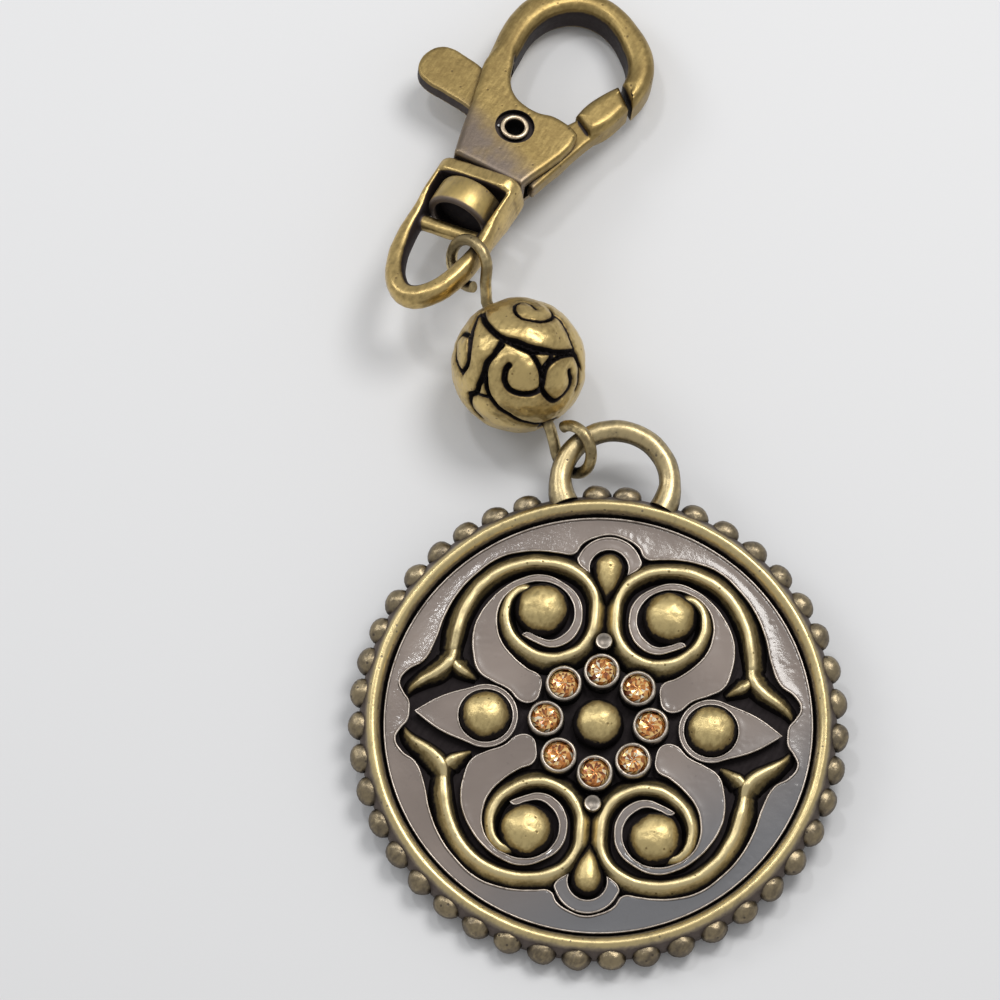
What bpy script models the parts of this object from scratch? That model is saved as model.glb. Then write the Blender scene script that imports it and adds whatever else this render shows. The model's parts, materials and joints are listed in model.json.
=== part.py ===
"""Bohemian keychain: a trigger snap on a swivel, a carved bead on an eye pin and an enamelled medallion.

The keychain lies on a table at z = TABLE_Z. The origin is the centre of the medallion's flat back,
+Y runs from the medallion towards the clasp and +Z points up from the table.
"""

from math import acos, asin, atan2, cos, hypot, pi, radians, sin

import bmesh
import bpy
from mathutils import Matrix, Vector

MM = 0.001

# Clearances shared by the whole part
FIT_GAP = 0.3 * MM
RUNNING_GAP = 0.2 * MM
OVERRUN = 1.0 * MM
WELD = 0.001 * MM
SMOOTH_ANGLE = radians(40)

# Medallion casting
RIM_R = 22.5 * MM
RIM_HALF_W = 0.7 * MM
RIM_TOP = 3.3 * MM
SKIRT_OUTSET = 1.2 * MM
SKIRT_R = RIM_R + SKIRT_OUTSET
SKIRT_FOOT = 0.35 * MM
SKIRT_TOP = 1.6 * MM
BACK_INSET = 0.3 * MM
BACK_R = SKIRT_R - BACK_INSET
FLOOR_INSET = 0.8 * MM
FLOOR_R = RIM_R - FLOOR_INSET
FLOOR_Z = 1.2 * MM
ORNAMENT_SHARE = 0.9217
ORNAMENT_R = FLOOR_R * ORNAMENT_SHARE
LEAN = radians(4)
DISC_STEPS = 60

# Edge beads round the casting
EDGE_BEAD_R = 1.25 * MM
EDGE_BEAD_OUTSET = 0.2 * MM
EDGE_RING_R = SKIRT_R + EDGE_BEAD_OUTSET
EDGE_BEAD_Z = 1.35 * MM
EDGE_SLOTS = 46

# Hoop at the top of the casting
HOOP_OUTSET = 1.3 * MM
HOOP_Y = SKIRT_R + HOOP_OUTSET
HOOP_R = 5.5 * MM
HOOP_WIRE_R = 1.03 * MM
HOOP_Z = 2.1 * MM
HOOP_DIP = radians(27)
HOOP_LINK = radians(144)

# Scrolls, domes and drops of the casting, drawn in shares of the ornament's radius
RIDGE_SHARE = 0.043
RIDGE_Z = 2.02 * MM
SCROLL_SHARES = (
    (0.747, 0.265, 1.10), (0.735, 0.400, 1.00), (0.690, 0.560, 0.98), (0.590, 0.703, 0.98),
    (0.450, 0.785, 0.97), (0.300, 0.803, 0.95), (0.162, 0.766, 0.94), (0.075, 0.680, 0.92),
    (0.052, 0.560, 0.92), (0.080, 0.425, 0.92), (0.170, 0.342, 0.92), (0.300, 0.322, 0.91),
    (0.410, 0.372, 0.89), (0.480, 0.460, 0.87), (0.487, 0.555, 0.83), (0.440, 0.640, 0.74),
)
OUTER_TAIL_SHARES = (
    (0.745, 0.275, 1.05), (0.805, 0.210, 0.95), (0.882, 0.160, 0.78), (0.936, 0.118, 0.56),
    (0.960, 0.082, 0.38),
)
INNER_TAIL_SHARES = ((0.745, 0.275, 1.00), (0.707, 0.230, 0.84), (0.664, 0.208, 0.62), (0.622, 0.186, 0.40))
DOME_SHARE = 0.1275
DOME_R = DOME_SHARE * ORNAMENT_R
DOME_Z = 1.9 * MM
DOME_RISE = 1.8 * MM
DOME_SHARES = (0.318, 0.566)
LEAF_DOME_SHARE = 0.56
LEAF_DOME_X = LEAF_DOME_SHARE * ORNAMENT_R
DROP_HEAD_Y_SHARE = 0.80
DROP_HEAD_Y = DROP_HEAD_Y_SHARE * ORNAMENT_R
DROP_HEAD_SHARE = 0.08
DROP_HEAD_R = DROP_HEAD_SHARE * ORNAMENT_R
DROP_TAIL_SHARE = 2.35
DROP_TAPER_SHARE = 0.85
DROP_RISE = 1.5 * MM
DOT_Y_SHARE = 0.415
DOT_Y = DOT_Y_SHARE * ORNAMENT_R
DOT_SHARE = 0.0425
DOT_R = DOT_SHARE * ORNAMENT_R
DOT_TOP = 2.3 * MM

# Stone cups and stones
STONES = 8
STONE_RING_SHARE = 0.26
STONE_RING_R = STONE_RING_SHARE * ORNAMENT_R
CUP_SHARE = 0.09
CUP_R = CUP_SHARE * ORNAMENT_R
CUP_WALL = 0.35 * MM
CUP_BORE_R = CUP_R - CUP_WALL
CUP_TOP = 3.0 * MM
STONE_GAP = 0.17 * MM
STONE_R = CUP_BORE_R - STONE_GAP
STONE_GIRDLE_Z = 2.55 * MM
STONE_TABLE_Z = 3.1 * MM
STONE_GIRDLE_H = 0.12 * MM
STONE_TABLE_SHARE = 0.6
STONE_CULET_SHARE = 0.25

# Enamel inlays
ENAMEL_TOP = 2.1 * MM
ENAMEL_GROOVE = 0.5 * MM
FIELD_SHARES = (
    (0.000, 0.980), (0.060, 0.968), (0.143, 0.922), (0.180, 0.868), (0.255, 0.868), (0.330, 0.872),
    (0.440, 0.860), (0.550, 0.822), (0.661, 0.730), (0.740, 0.632), (0.805, 0.495), (0.840, 0.370),
    (0.891, 0.262), (0.962, 0.212), (1.000, 0.148), (0.976, 0.088), (0.948, 0.050), (0.942, 0.000),
)
COMMA_SHARES = (
    (0.300, 0.150), (0.325, 0.094), (0.385, 0.088), (0.455, 0.146), (0.540, 0.184), (0.607, 0.226),
    (0.640, 0.310), (0.648, 0.430), (0.630, 0.500), (0.585, 0.582), (0.525, 0.652), (0.440, 0.712),
    (0.330, 0.742), (0.225, 0.708), (0.145, 0.640), (0.120, 0.550), (0.134, 0.470), (0.185, 0.405),
    (0.262, 0.377), (0.340, 0.398), (0.405, 0.428), (0.386, 0.440), (0.330, 0.420), (0.262, 0.408),
    (0.205, 0.438), (0.165, 0.490), (0.153, 0.555), (0.175, 0.628), (0.238, 0.690), (0.330, 0.713),
    (0.425, 0.690), (0.500, 0.635), (0.538, 0.560), (0.540, 0.470), (0.515, 0.392), (0.455, 0.318),
    (0.375, 0.255), (0.305, 0.215),
)
LEAF_TIP_SHARE = 0.91
LEAF_TIP_X = LEAF_TIP_SHARE * ORNAMENT_R
LEAF_SHARE = 0.157
LEAF_R = LEAF_SHARE * ORNAMENT_R
ARCH_SHARE = 0.16
ARCH_R = ARCH_SHARE * ORNAMENT_R
ARCH_BORE_SHARE = 0.10
ARCH_BORE_R = ARCH_BORE_SHARE * ORNAMENT_R
ARCH_REACH = radians(78)
ARCH_BORE_REACH = radians(106)

# Eye pin
PIN_R = 0.55 * MM
EYE_R = 2.45 * MM
PIN_HEADING = radians(31)
PIN_LEAN = radians(55)
TOP_NECK = 4.9 * MM
TOP_EYE_SHIFT = 0.25 * MM
LOW_NECK = 3.6 * MM
LOW_EYE_SHIFT = 1.6 * MM
EYE_SWEEP = radians(284)
EYE_POINTS = 20

# Carved bead
BEAD_R = 6.7 * MM
BEAD_BORE_R = 0.95 * MM
BEAD_DROP = 0.3 * MM
BEAD_STEPS = 28
BEAD_RINGS = 12

# Snap body and hook, drawn in shares of one snap unit
SNAP_UNIT = 10.0 * MM
CLASP_HEADING = radians(24.8)
BODY_T = 4.4 * MM
BODY_EDGE = 1.15 * MM
BODY_OUTER_SHARES = (
    (0.400, -0.590), (-0.385, -0.590), (-0.460, -0.300), (-0.520, -0.020), (-0.610, 0.350),
    (-0.660, 0.590), (-0.690, 0.810), (-0.720, 1.050), (-0.715, 1.290), (-0.655, 1.530),
    (-0.500, 1.740), (-0.270, 1.885), (0.050, 1.945), (0.265, 1.910), (0.485, 1.810), (0.710, 1.660),
    (0.845, 1.500), (0.930, 1.290), (0.945, 1.090), (0.911, 0.888),
)
BODY_INNER_SHARES = (
    (0.686, 1.085), (0.660, 1.240), (0.590, 1.370), (0.480, 1.480), (0.280, 1.625), (0.060, 1.685),
    (-0.140, 1.640), (-0.295, 1.510), (-0.385, 1.340), (-0.420, 1.160), (-0.410, 0.910), (-0.390, 0.690),
    (-0.310, 0.490), (-0.190, 0.360), (-0.050, 0.305), (0.120, 0.295), (0.270, 0.335), (0.400, 0.330),
    (0.520, 0.305), (0.605, 0.240),
)
SLOT_W = 2.4 * MM
SLOT_SHARES = (
    (-0.90, 0.68), (-0.90, -0.50), (-0.33, -0.33), (0.22, -0.33), (0.32, -0.52), (0.90, -0.62),
    (0.90, 0.60), (0.20, 0.60), (-0.15, 0.50), (-0.30, 0.76), (-0.60, 0.70),
)
STEM_R = 1.5 * MM
STEM_END_R = 1.1 * MM
CAP_H = 3.0 * MM
CAP_EDGE = 0.35 * MM

# Gate lever
LEVER_SHARES = (
    (0.660, 1.055), (0.885, 0.858), (0.800, 0.560), (0.715, 0.320), (0.660, 0.120), (0.500, -0.500),
    (0.425, -0.480), (0.400, -0.180), (0.230, -0.150), (0.130, -0.230), (-0.020, -0.262), (-0.160, -0.215),
    (-0.260, -0.085), (-0.550, 0.030), (-0.830, 0.065), (-1.120, 0.100), (-1.215, 0.170),
    (-1.262, 0.290), (-1.240, 0.440), (-1.160, 0.550), (-1.060, 0.590), (-0.880, 0.580), (-0.640, 0.530),
    (-0.360, 0.330), (-0.200, 0.205), (-0.020, 0.245), (0.280, 0.260), (0.440, 0.420),
)
GATE_SHARES = (
    (0.455, 0.500), (0.480, 0.660), (0.560, 0.870), (0.660, 1.055), (0.885, 0.858), (0.810, 0.560),
    (0.695, 0.365),
)
GATE_T = 3.7 * MM
GATE_EDGE = 0.6 * MM
TONGUE_T = 1.9 * MM
TONGUE_EDGE = 0.25 * MM

# Gate rivet
RIVET_R = 1.2 * MM
RIVET_BORE_R = 0.85 * MM
RIVET_RIM_R = 1.45 * MM
RIVET_RIM_H = 0.45 * MM
RIVET_SEAT_R = 2.0 * MM
RIVET_SINK = 0.05 * MM
RIVET_STEPS = 20

# Gate spring
SPRING_WIRE_R = 0.15 * MM
SPRING_R = 1.65 * MM
SPRING_TURNS = 1.3
SPRING_LEG = 0.6 * MM
SPRING_HOLE_R = 0.45 * MM
POCKET_R = 2.0 * MM
POCKET_WEB = 0.55 * MM
POINTS_PER_TURN = 10

# Swivel loop
SWIVEL_ROLL = radians(15)
SWIVEL_SHARE = 0.94
SWIVEL_W = SWIVEL_SHARE * SNAP_UNIT
BAND_T = 1.5 * MM
BAND_DEPTH = 5.4 * MM
BAND_CORNER = 1.5 * MM
BAND_EDGE = 0.45 * MM
ARM_R = 0.65 * MM
ARM_INSET = 0.1 * MM
ARM_DEPTH = 4.4 * MM
ARM_EDGE = 0.5 * MM
BAR_R = 0.75 * MM
BAR_DROP = 1.9 * MM
BOW_R = 1.1 * MM
BOW_REACH = 8.4 * MM
BOW_DROP = 1.0 * MM
BOW_LINK = radians(16)
BOW_POINTS = 14

# Places worked out from the sizes above
ARM_X = SWIVEL_W / 2 - ARM_INSET - ARM_R
CAP_R = ARM_X - ARM_R - FIT_GAP
BODY_FOOT = BODY_OUTER_SHARES[0][1] * SNAP_UNIT
BAND_TOP = BODY_FOOT - FIT_GAP
CAP_TOP = BAND_TOP - BAND_T - FIT_GAP
CAP_FOOT = CAP_TOP - CAP_H
BAR_Y = CAP_FOOT - BAR_DROP
BOW_Y = BAR_Y - BOW_DROP
HOOK_REACH = max(share[1] for share in BODY_OUTER_SHARES) * SNAP_UNIT
ENAMEL_FOOT = FLOOR_Z + FIT_GAP
TABLE_Z = -BACK_R * sin(LEAN)


def clear_scene():
    for obj in list(bpy.data.objects):
        bpy.data.objects.remove(obj, do_unlink=True)
    for collection in list(bpy.data.collections):
        bpy.data.collections.remove(collection)


def new_collection(name):
    collection = bpy.data.collections.new(name)
    bpy.context.scene.collection.children.link(collection)
    return collection


def new_material(name, colour, roughness, metallic):
    material = bpy.data.materials.new(name)
    material.use_nodes = True
    shader = material.node_tree.nodes["Principled BSDF"]
    shader.inputs["Base Color"].default_value = (*colour, 1)
    shader.inputs["Roughness"].default_value = roughness
    shader.inputs["Metallic"].default_value = metallic
    return material


def new_empty(name, place, parent=None):
    """An empty that carries a group of pieces, at a world matrix."""
    empty = bpy.data.objects.new(name, None)
    PARTS.objects.link(empty)
    empty.empty_display_size = BEAD_R
    if parent:
        empty.parent = parent
    empty.matrix_world = place
    return empty


def mesh_object(name, shape):
    mesh = bpy.data.meshes.new(name)
    shape.to_mesh(mesh)
    shape.free()
    obj = bpy.data.objects.new(name, mesh)
    CUTTERS.objects.link(obj)
    return obj


def tube(name, points, radii, cyclic=False, sides=2, smooth=0):
    """A round wire along points, closed at its ends, as a mesh; radii are the wire's radius at each point."""
    curve = bpy.data.curves.new(name, "CURVE")
    curve.dimensions = "3D"
    curve.bevel_depth = 1
    curve.bevel_resolution = sides
    curve.use_fill_caps = not cyclic
    spline = curve.splines.new("BEZIER" if smooth else "POLY")
    if smooth:
        curve.resolution_u = smooth
        spline.bezier_points.add(len(points) - 1)
        for knot, point, radius in zip(spline.bezier_points, points, radii):
            knot.co = point
            knot.radius = radius
            knot.handle_left_type = "AUTO"
            knot.handle_right_type = "AUTO"
    else:
        spline.points.add(len(points) - 1)
        for knot, point, radius in zip(spline.points, points, radii):
            knot.co = (*point, 1)
            knot.radius = radius
    spline.use_cyclic_u = cyclic
    return solid_from_curve(name, curve)


def plate(name, outlines, low, high, edge=0):
    """A flat plate between two heights, from one outer outline and any holes, with rounded edges."""
    curve = bpy.data.curves.new(name, "CURVE")
    curve.dimensions = "2D"
    curve.fill_mode = "BOTH"
    curve.extrude = (high - low) / 2 - edge
    curve.bevel_depth = edge
    curve.bevel_resolution = 1 if edge else 0
    curve.offset = -edge
    for outline in outlines:
        spline = curve.splines.new("POLY")
        spline.points.add(len(outline) - 1)
        for knot, point in zip(spline.points, outline):
            knot.co = (point[0], point[1], 0, 1)
        spline.use_cyclic_u = True
    obj = solid_from_curve(name, curve)
    obj.data.transform(Matrix.Translation((0, 0, (low + high) / 2)))
    return obj


def solid_from_curve(name, curve):
    """The curve's surface as a closed mesh object with its caps welded."""
    source = bpy.data.objects.new(name, curve)
    CUTTERS.objects.link(source)
    graph = bpy.context.evaluated_depsgraph_get()
    mesh = bpy.data.meshes.new_from_object(source.evaluated_get(graph))
    bpy.data.objects.remove(source)
    bpy.data.curves.remove(curve)
    shape = bmesh.new()
    shape.from_mesh(mesh)
    bpy.data.meshes.remove(mesh)
    bmesh.ops.remove_doubles(shape, verts=shape.verts, dist=WELD)
    bmesh.ops.recalc_face_normals(shape, faces=shape.faces)
    return mesh_object(name, shape)


def turned(name, profile, steps, closed=False):
    """A solid turned about Z from (radius, height) points listed from the top down its outer side."""
    shape = bmesh.new()
    verts = [shape.verts.new((radius, 0, height)) for radius, height in profile]
    for first, second in zip(verts, verts[1:]):
        shape.edges.new((first, second))
    if closed:
        shape.edges.new((verts[-1], verts[0]))
    obj = mesh_object(name, shape)
    screw = obj.modifiers.new("Turn", "SCREW")
    screw.steps = steps
    screw.render_steps = steps
    screw.use_merge_vertices = True
    screw.merge_threshold = WELD
    screw.use_smooth_shade = True
    return applied(obj)


def applied(obj):
    """The object with its modifiers applied, and its faces turned outwards."""
    graph = bpy.context.evaluated_depsgraph_get()
    mesh = bpy.data.meshes.new_from_object(obj.evaluated_get(graph))
    shape = bmesh.new()
    shape.from_mesh(mesh)
    bmesh.ops.recalc_face_normals(shape, faces=shape.faces)
    shape.to_mesh(mesh)
    shape.free()
    obj.modifiers.clear()
    old = obj.data
    obj.data = mesh
    bpy.data.meshes.remove(old)
    return obj


def cylinder(name, radius, low, high, sides=24):
    """A cylinder along Z between two heights."""
    shape = bmesh.new()
    bmesh.ops.create_cone(
        shape, cap_ends=True, segments=sides, radius1=radius, radius2=radius, depth=high - low,
        matrix=Matrix.Translation((0, 0, (low + high) / 2)),
    )
    return mesh_object(name, shape)


def ball(name, radius, rise, centre, segments=12, rings=6):
    """A ball or a flattened dome."""
    shape = bmesh.new()
    squash = Matrix.Diagonal((1, 1, rise / radius, 1))
    bmesh.ops.create_uvsphere(
        shape, u_segments=segments, v_segments=rings, radius=radius,
        matrix=Matrix.Translation(centre) @ squash,
    )
    return mesh_object(name, shape)


def joined(name, pieces):
    """Solids that don't touch one another, put into one mesh."""
    shape = bmesh.new()
    for piece in pieces:
        piece.data.transform(piece.matrix_basis)
        shape.from_mesh(piece.data)
        bpy.data.objects.remove(piece)
    return mesh_object(name, shape)


def combine(obj, other, operation, solver="EXACT"):
    """Joins other to obj or cuts it away, and keeps other as a hidden wire guide."""
    modifier = obj.modifiers.new(other.name, "BOOLEAN")
    modifier.operation = operation
    modifier.solver = solver
    modifier.object = other
    other.hide_render = True
    other.display_type = "WIRE"
    return obj


def keep(obj, name, material, parent, place=None):
    """Puts a finished piece among the parts, under its own name and on the empty that carries it."""
    obj.name = name
    CUTTERS.objects.unlink(obj)
    PARTS.objects.link(obj)
    obj.data.materials.clear()
    obj.data.materials.append(material)
    obj.parent = parent
    obj.matrix_parent_inverse = Matrix()
    obj.matrix_basis = place or Matrix()
    obj.data.shade_smooth()
    obj.data.set_sharp_from_angle(angle=SMOOTH_ANGLE)
    for modifier in obj.modifiers:
        if modifier.type == "BOOLEAN":
            modifier.object.parent = parent
            modifier.object.matrix_parent_inverse = Matrix()
            modifier.object.matrix_basis = obj.matrix_basis
    return obj


def quadrants(points):
    """The same points in each of the four mirrored quarters, each with its quarter's name."""
    for name, side, end in (("tr", 1, 1), ("tl", -1, 1), ("bl", -1, -1), ("br", 1, -1)):
        yield name, [(side * point[0], end * point[1], *point[2:]) for point in points]


def scaled(shares, size):
    return [(size * share[0], size * share[1], *share[2:]) for share in shares]


def polar(radius, angle, centre=(0, 0)):
    return (centre[0] + radius * cos(angle), centre[1] + radius * sin(angle))


def arc(radius, start, end, count, centre=(0, 0)):
    """Points along an arc, both ends included."""
    return [polar(radius, start + (end - start) * step / (count - 1), centre) for step in range(count)]


def basis(place, right, along, up):
    """A matrix from an origin and three unit directions."""
    matrix = Matrix((right, along, up)).transposed().to_4x4()
    matrix.translation = place
    return matrix


def ridge(name, shares):
    """The four mirrored copies of a raised rib, swelling and tapering along its shares."""
    ribs = []
    for quarter, points in quadrants(scaled(shares, ORNAMENT_R)):
        centre = [(x, y, RIDGE_Z) for x, y, _ in points]
        radii = [RIDGE_SHARE * ORNAMENT_R * swell for _, _, swell in points]
        ribs.append(tube(f"{name}_{quarter}", centre, radii, sides=1, smooth=2))
    return joined(name, ribs)


def drop(name, end):
    """A teardrop boss whose tail points to the middle of the medallion."""
    obj = ball(name, DROP_HEAD_R, DROP_RISE, (0, 0, 0))
    for vert in obj.data.vertices:
        tail = max(0, -vert.co.y / DROP_HEAD_R)
        vert.co.x *= 1 - DROP_TAPER_SHARE * tail * tail
        vert.co.y *= DROP_TAIL_SHARE if tail else 1
    turn = Matrix.Rotation(0 if end > 0 else pi, 4, "Z")
    obj.data.transform(Matrix.Translation((0, end * DROP_HEAD_Y, DOME_Z)) @ turn)
    return obj


def medallion_blank():
    """The turned disc: flat back, skirt, rim ridge and sunk floor."""
    shoulder = (RIM_TOP + SKIRT_TOP) / 2
    profile = [
        (0, FLOOR_Z),
        (FLOOR_R, FLOOR_Z),
        (RIM_R - RIM_HALF_W, shoulder),
        (RIM_R - RIM_HALF_W / 2, (shoulder + 3 * RIM_TOP) / 4),
        (RIM_R, RIM_TOP),
        (RIM_R + RIM_HALF_W / 2, (shoulder + 3 * RIM_TOP) / 4),
        (RIM_R + RIM_HALF_W, shoulder),
        (SKIRT_R, SKIRT_TOP),
        (SKIRT_R, SKIRT_FOOT),
        (BACK_R, 0),
        (0, 0),
    ]
    return turned("medallion", profile, DISC_STEPS)


def edge_beads():
    """The beads round the edge, two of whose places the hoop's feet take."""
    pitch = 2 * pi / EDGE_SLOTS
    foot = asin((HOOP_R * cos(HOOP_DIP)) / EDGE_RING_R)
    beads = []
    for slot in range(EDGE_SLOTS):
        turn = (slot + 0.5) * pitch
        from_top = min(turn, 2 * pi - turn)
        if abs(from_top - foot) < pitch / 2:
            continue
        place = (*polar(EDGE_RING_R, pi / 2 - turn), EDGE_BEAD_Z)
        beads.append(ball(f"edge_bead_{slot}", EDGE_BEAD_R, EDGE_BEAD_R, place, 7, 5))
    return beads


def hoop():
    points = [(*point, HOOP_Z) for point in arc(HOOP_R, -HOOP_DIP, pi + HOOP_DIP, 22, (0, HOOP_Y))]
    return tube("hoop", points, [HOOP_WIRE_R] * len(points))


def stone_places():
    return [polar(STONE_RING_R, pi / 2 - 2 * pi * place / STONES) for place in range(STONES)]


def bosses():
    """Domes, teardrops, dots and stone cups that stand on the floor."""
    found = [ball("dome_middle", DOME_R, DOME_RISE, (0, 0, DOME_Z))]
    for quarter, points in quadrants(scaled([DOME_SHARES], ORNAMENT_R)):
        found.append(ball(f"dome_{quarter}", DOME_R, DOME_RISE, (*points[0], DOME_Z)))
    for side in (-1, 1):
        found.append(ball(f"dome_leaf_{side}", DOME_R, DOME_RISE, (side * LEAF_DOME_X, 0, DOME_Z)))
        found.append(drop(f"drop_{side}", side))
        dot = cylinder(f"dot_{side}", DOT_R, FLOOR_Z / 2, DOT_TOP, 12)
        dot.matrix_basis = Matrix.Translation((0, side * DOT_Y, 0))
        found.append(dot)
    cup = [
        (CUP_BORE_R, CUP_TOP),
        (CUP_R, CUP_TOP),
        (CUP_R, FLOOR_Z / 2),
        (CUP_BORE_R, FLOOR_Z / 2),
    ]
    for number, (x, y) in enumerate(stone_places()):
        ring = turned(f"cup_{number}", cup, 12, closed=True)
        ring.matrix_basis = Matrix.Translation((x, y, 0))
        found.append(ring)
    return joined("bosses", found)


def make_medallion(carrier):
    obj = medallion_blank()
    combine(obj, ridge("scrolls", SCROLL_SHARES), "UNION", "MANIFOLD")
    combine(obj, ridge("outer_tails", OUTER_TAIL_SHARES), "UNION", "MANIFOLD")
    combine(obj, ridge("inner_tails", INNER_TAIL_SHARES), "UNION", "MANIFOLD")
    combine(obj, bosses(), "UNION", "MANIFOLD")
    combine(obj, joined("edge", [*edge_beads(), hoop()]), "UNION", "MANIFOLD")
    keep(obj, "medallion", BRASS_DARK, carrier)


def make_stones(carrier):
    profile = [
        (0, STONE_TABLE_Z),
        (STONE_R * STONE_TABLE_SHARE, STONE_TABLE_Z),
        (STONE_R, STONE_GIRDLE_Z + STONE_GIRDLE_H),
        (STONE_R, STONE_GIRDLE_Z),
        (STONE_R * STONE_CULET_SHARE, ENAMEL_FOOT),
        (0, ENAMEL_FOOT),
    ]
    for number, (x, y) in enumerate(stone_places()):
        stone = turned("stone", profile, 8)
        keep(stone, f"stone_{number + 1}", STONE, carrier, Matrix.Translation((x, y, 0)))


def make_enamel(carrier):
    """The separate fills: a ring field, four commas, two leaves and two arches."""
    quarter = scaled(FIELD_SHARES, ORNAMENT_R)
    right = quarter + [(x, -y) for x, y in reversed(quarter[:-1])]
    inner = right + [(-x, y) for x, y in reversed(right[1:-1])]
    outer = arc(FLOOR_R - ENAMEL_GROOVE, 0, 2 * pi, 73)[:-1]
    field = plate("field", [outer, inner], ENAMEL_FOOT, ENAMEL_TOP)
    keep(field, "enamel_field", ENAMEL, carrier)
    for name, points in quadrants(scaled(COMMA_SHARES, ORNAMENT_R)):
        keep(plate(name, [points], ENAMEL_FOOT, ENAMEL_TOP), f"enamel_comma_{name}", ENAMEL, carrier)
    reach = LEAF_TIP_X - LEAF_DOME_X
    touch = acos(LEAF_R / reach)
    for name, side in (("right", 1), ("left", -1)):
        outline = arc(LEAF_R, touch, 2 * pi - touch, 22, (LEAF_DOME_X, 0)) + [(LEAF_TIP_X, 0)]
        bore = arc(DOME_R + RUNNING_GAP, 0, 2 * pi, 21, (LEAF_DOME_X, 0))[:-1]
        rings = [[(side * x, y) for x, y in ring] for ring in (outline, bore)]
        keep(plate(name, rings, ENAMEL_FOOT, ENAMEL_TOP), f"enamel_leaf_{name}", ENAMEL, carrier)
    for name, end in (("top", 1), ("bottom", -1)):
        inside = arc(ARCH_BORE_R, pi / 2 + ARCH_BORE_REACH, pi / 2 - ARCH_BORE_REACH, 14, (0, DROP_HEAD_Y))
        outside = arc(ARCH_R, pi / 2 - ARCH_REACH, pi / 2 + ARCH_REACH, 14, (0, DROP_HEAD_Y))
        points = [(x, end * y) for x, y in inside + outside]
        keep(plate(name, [points], ENAMEL_FOOT, ENAMEL_TOP), f"enamel_arch_{name}", ENAMEL, carrier)


def lean_medallion():
    return Matrix.Rotation(LEAN, 4, "X")


def hoop_link():
    """The point on the hoop's wire that the lower eye goes round, and the wire's direction there."""
    x, y = polar(HOOP_R, HOOP_LINK, (0, HOOP_Y))
    leaning = lean_medallion()
    along = leaning.to_3x3() @ Vector((-sin(HOOP_LINK), cos(HOOP_LINK), 0))
    return leaning @ Vector((x, y, HOOP_Z)), along


def pin_frame():
    """The pin's own frame: origin on the shank inside the bead, X across its plane, Y back to the clasp."""
    link, _ = hoop_link()
    reach = BEAD_R + LOW_NECK
    rise = TABLE_Z + BEAD_R - BEAD_DROP - link.z
    shift = LOW_EYE_SHIFT * sin(PIN_LEAN)
    slope = atan2(shift, reach) + asin(rise / hypot(reach, shift))
    down = Vector((sin(PIN_HEADING) * cos(slope), -cos(PIN_HEADING) * cos(slope), -sin(slope)))
    right = Vector((cos(PIN_HEADING), sin(PIN_HEADING), 0))
    upper = down.cross(right)
    across = cos(PIN_LEAN) * right + sin(PIN_LEAN) * upper
    middle = link - reach * down - LOW_EYE_SHIFT * across
    return basis(middle, across, -down, across.cross(-down))


def eye_path(anchor, centre, turn):
    """A straight neck from the anchor, tangent to the eye, and then the eye; turn is +1 anticlockwise."""
    away = Vector(anchor) - Vector(centre)
    reach = away.length
    bearing = atan2(away.y, away.x)
    touch = bearing + turn * acos(EYE_R / reach)
    return arc(EYE_R, touch, touch + turn * EYE_SWEEP, EYE_POINTS, centre)


def pin_path():
    """The pin in its own plane, from the cut end of its top eye to the cut end of its lower eye."""
    top_anchor = (0, BEAD_R + PIN_R)
    low_anchor = (0, -BEAD_R - PIN_R)
    top_eye = eye_path(top_anchor, (TOP_EYE_SHIFT, BEAD_R + TOP_NECK), 1)
    low_eye = eye_path(low_anchor, (LOW_EYE_SHIFT, -BEAD_R - LOW_NECK), 1)
    return [*reversed(top_eye), top_anchor, low_anchor, *low_eye]


def least_gap(points, radius, skip):
    """The least distance between a wire's surface and itself, leaving out its nearest neighbours."""
    vectors = [Vector(point) for point in points]
    spans = [
        (vectors[one] - vectors[two]).length
        for one in range(len(vectors))
        for two in range(one + skip, len(vectors))
    ]
    return min(spans) - 2 * radius


def make_pin(carrier):
    flat = pin_path()
    points = [(x, y, 0) for x, y in flat]
    obj = tube("pin", points, [PIN_R] * len(points))
    gap = least_gap(points, PIN_R, 8)
    print(f"eye pin: least gap to itself {gap / MM:.2f} mm")
    keep(obj, "eye_pin", BRASS, carrier, carrier.matrix_world.inverted() @ pin_frame())


def bead_frame():
    """The bead's frame: Z along its bore, its centre just above the shank that passes through."""
    frame = pin_frame()
    along = frame.to_3x3().col[1]
    lift = (Vector((0, 0, 1)) - along.z * along).normalized()
    right = lift.cross(along)
    centre = frame.translation + BEAD_DROP * lift
    return basis(centre, right, lift, right.cross(lift))


def make_bead(carrier):
    """A round bead with a straight bore, opened a little at both mouths."""
    mouth = asin(BEAD_BORE_R / BEAD_R)
    profile = []
    for ring in range(BEAD_RINGS + 1):
        angle = mouth + (pi - 2 * mouth) * ring / BEAD_RINGS
        profile.append((BEAD_R * sin(angle), BEAD_R * cos(angle)))
    keep(turned("bead", profile, BEAD_STEPS, closed=True), "scroll_bead", BRASS, carrier)


def bow_point(angle):
    """A point of the bow's wire; angle 0 is the end of the right arm, pi the end of the left arm."""
    return Vector((ARM_X * cos(angle), BOW_Y - BOW_REACH * sin(angle), 0))


def top_eye_centre():
    return pin_frame() @ Vector((TOP_EYE_SHIFT, BEAD_R + TOP_NECK, 0))


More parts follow.
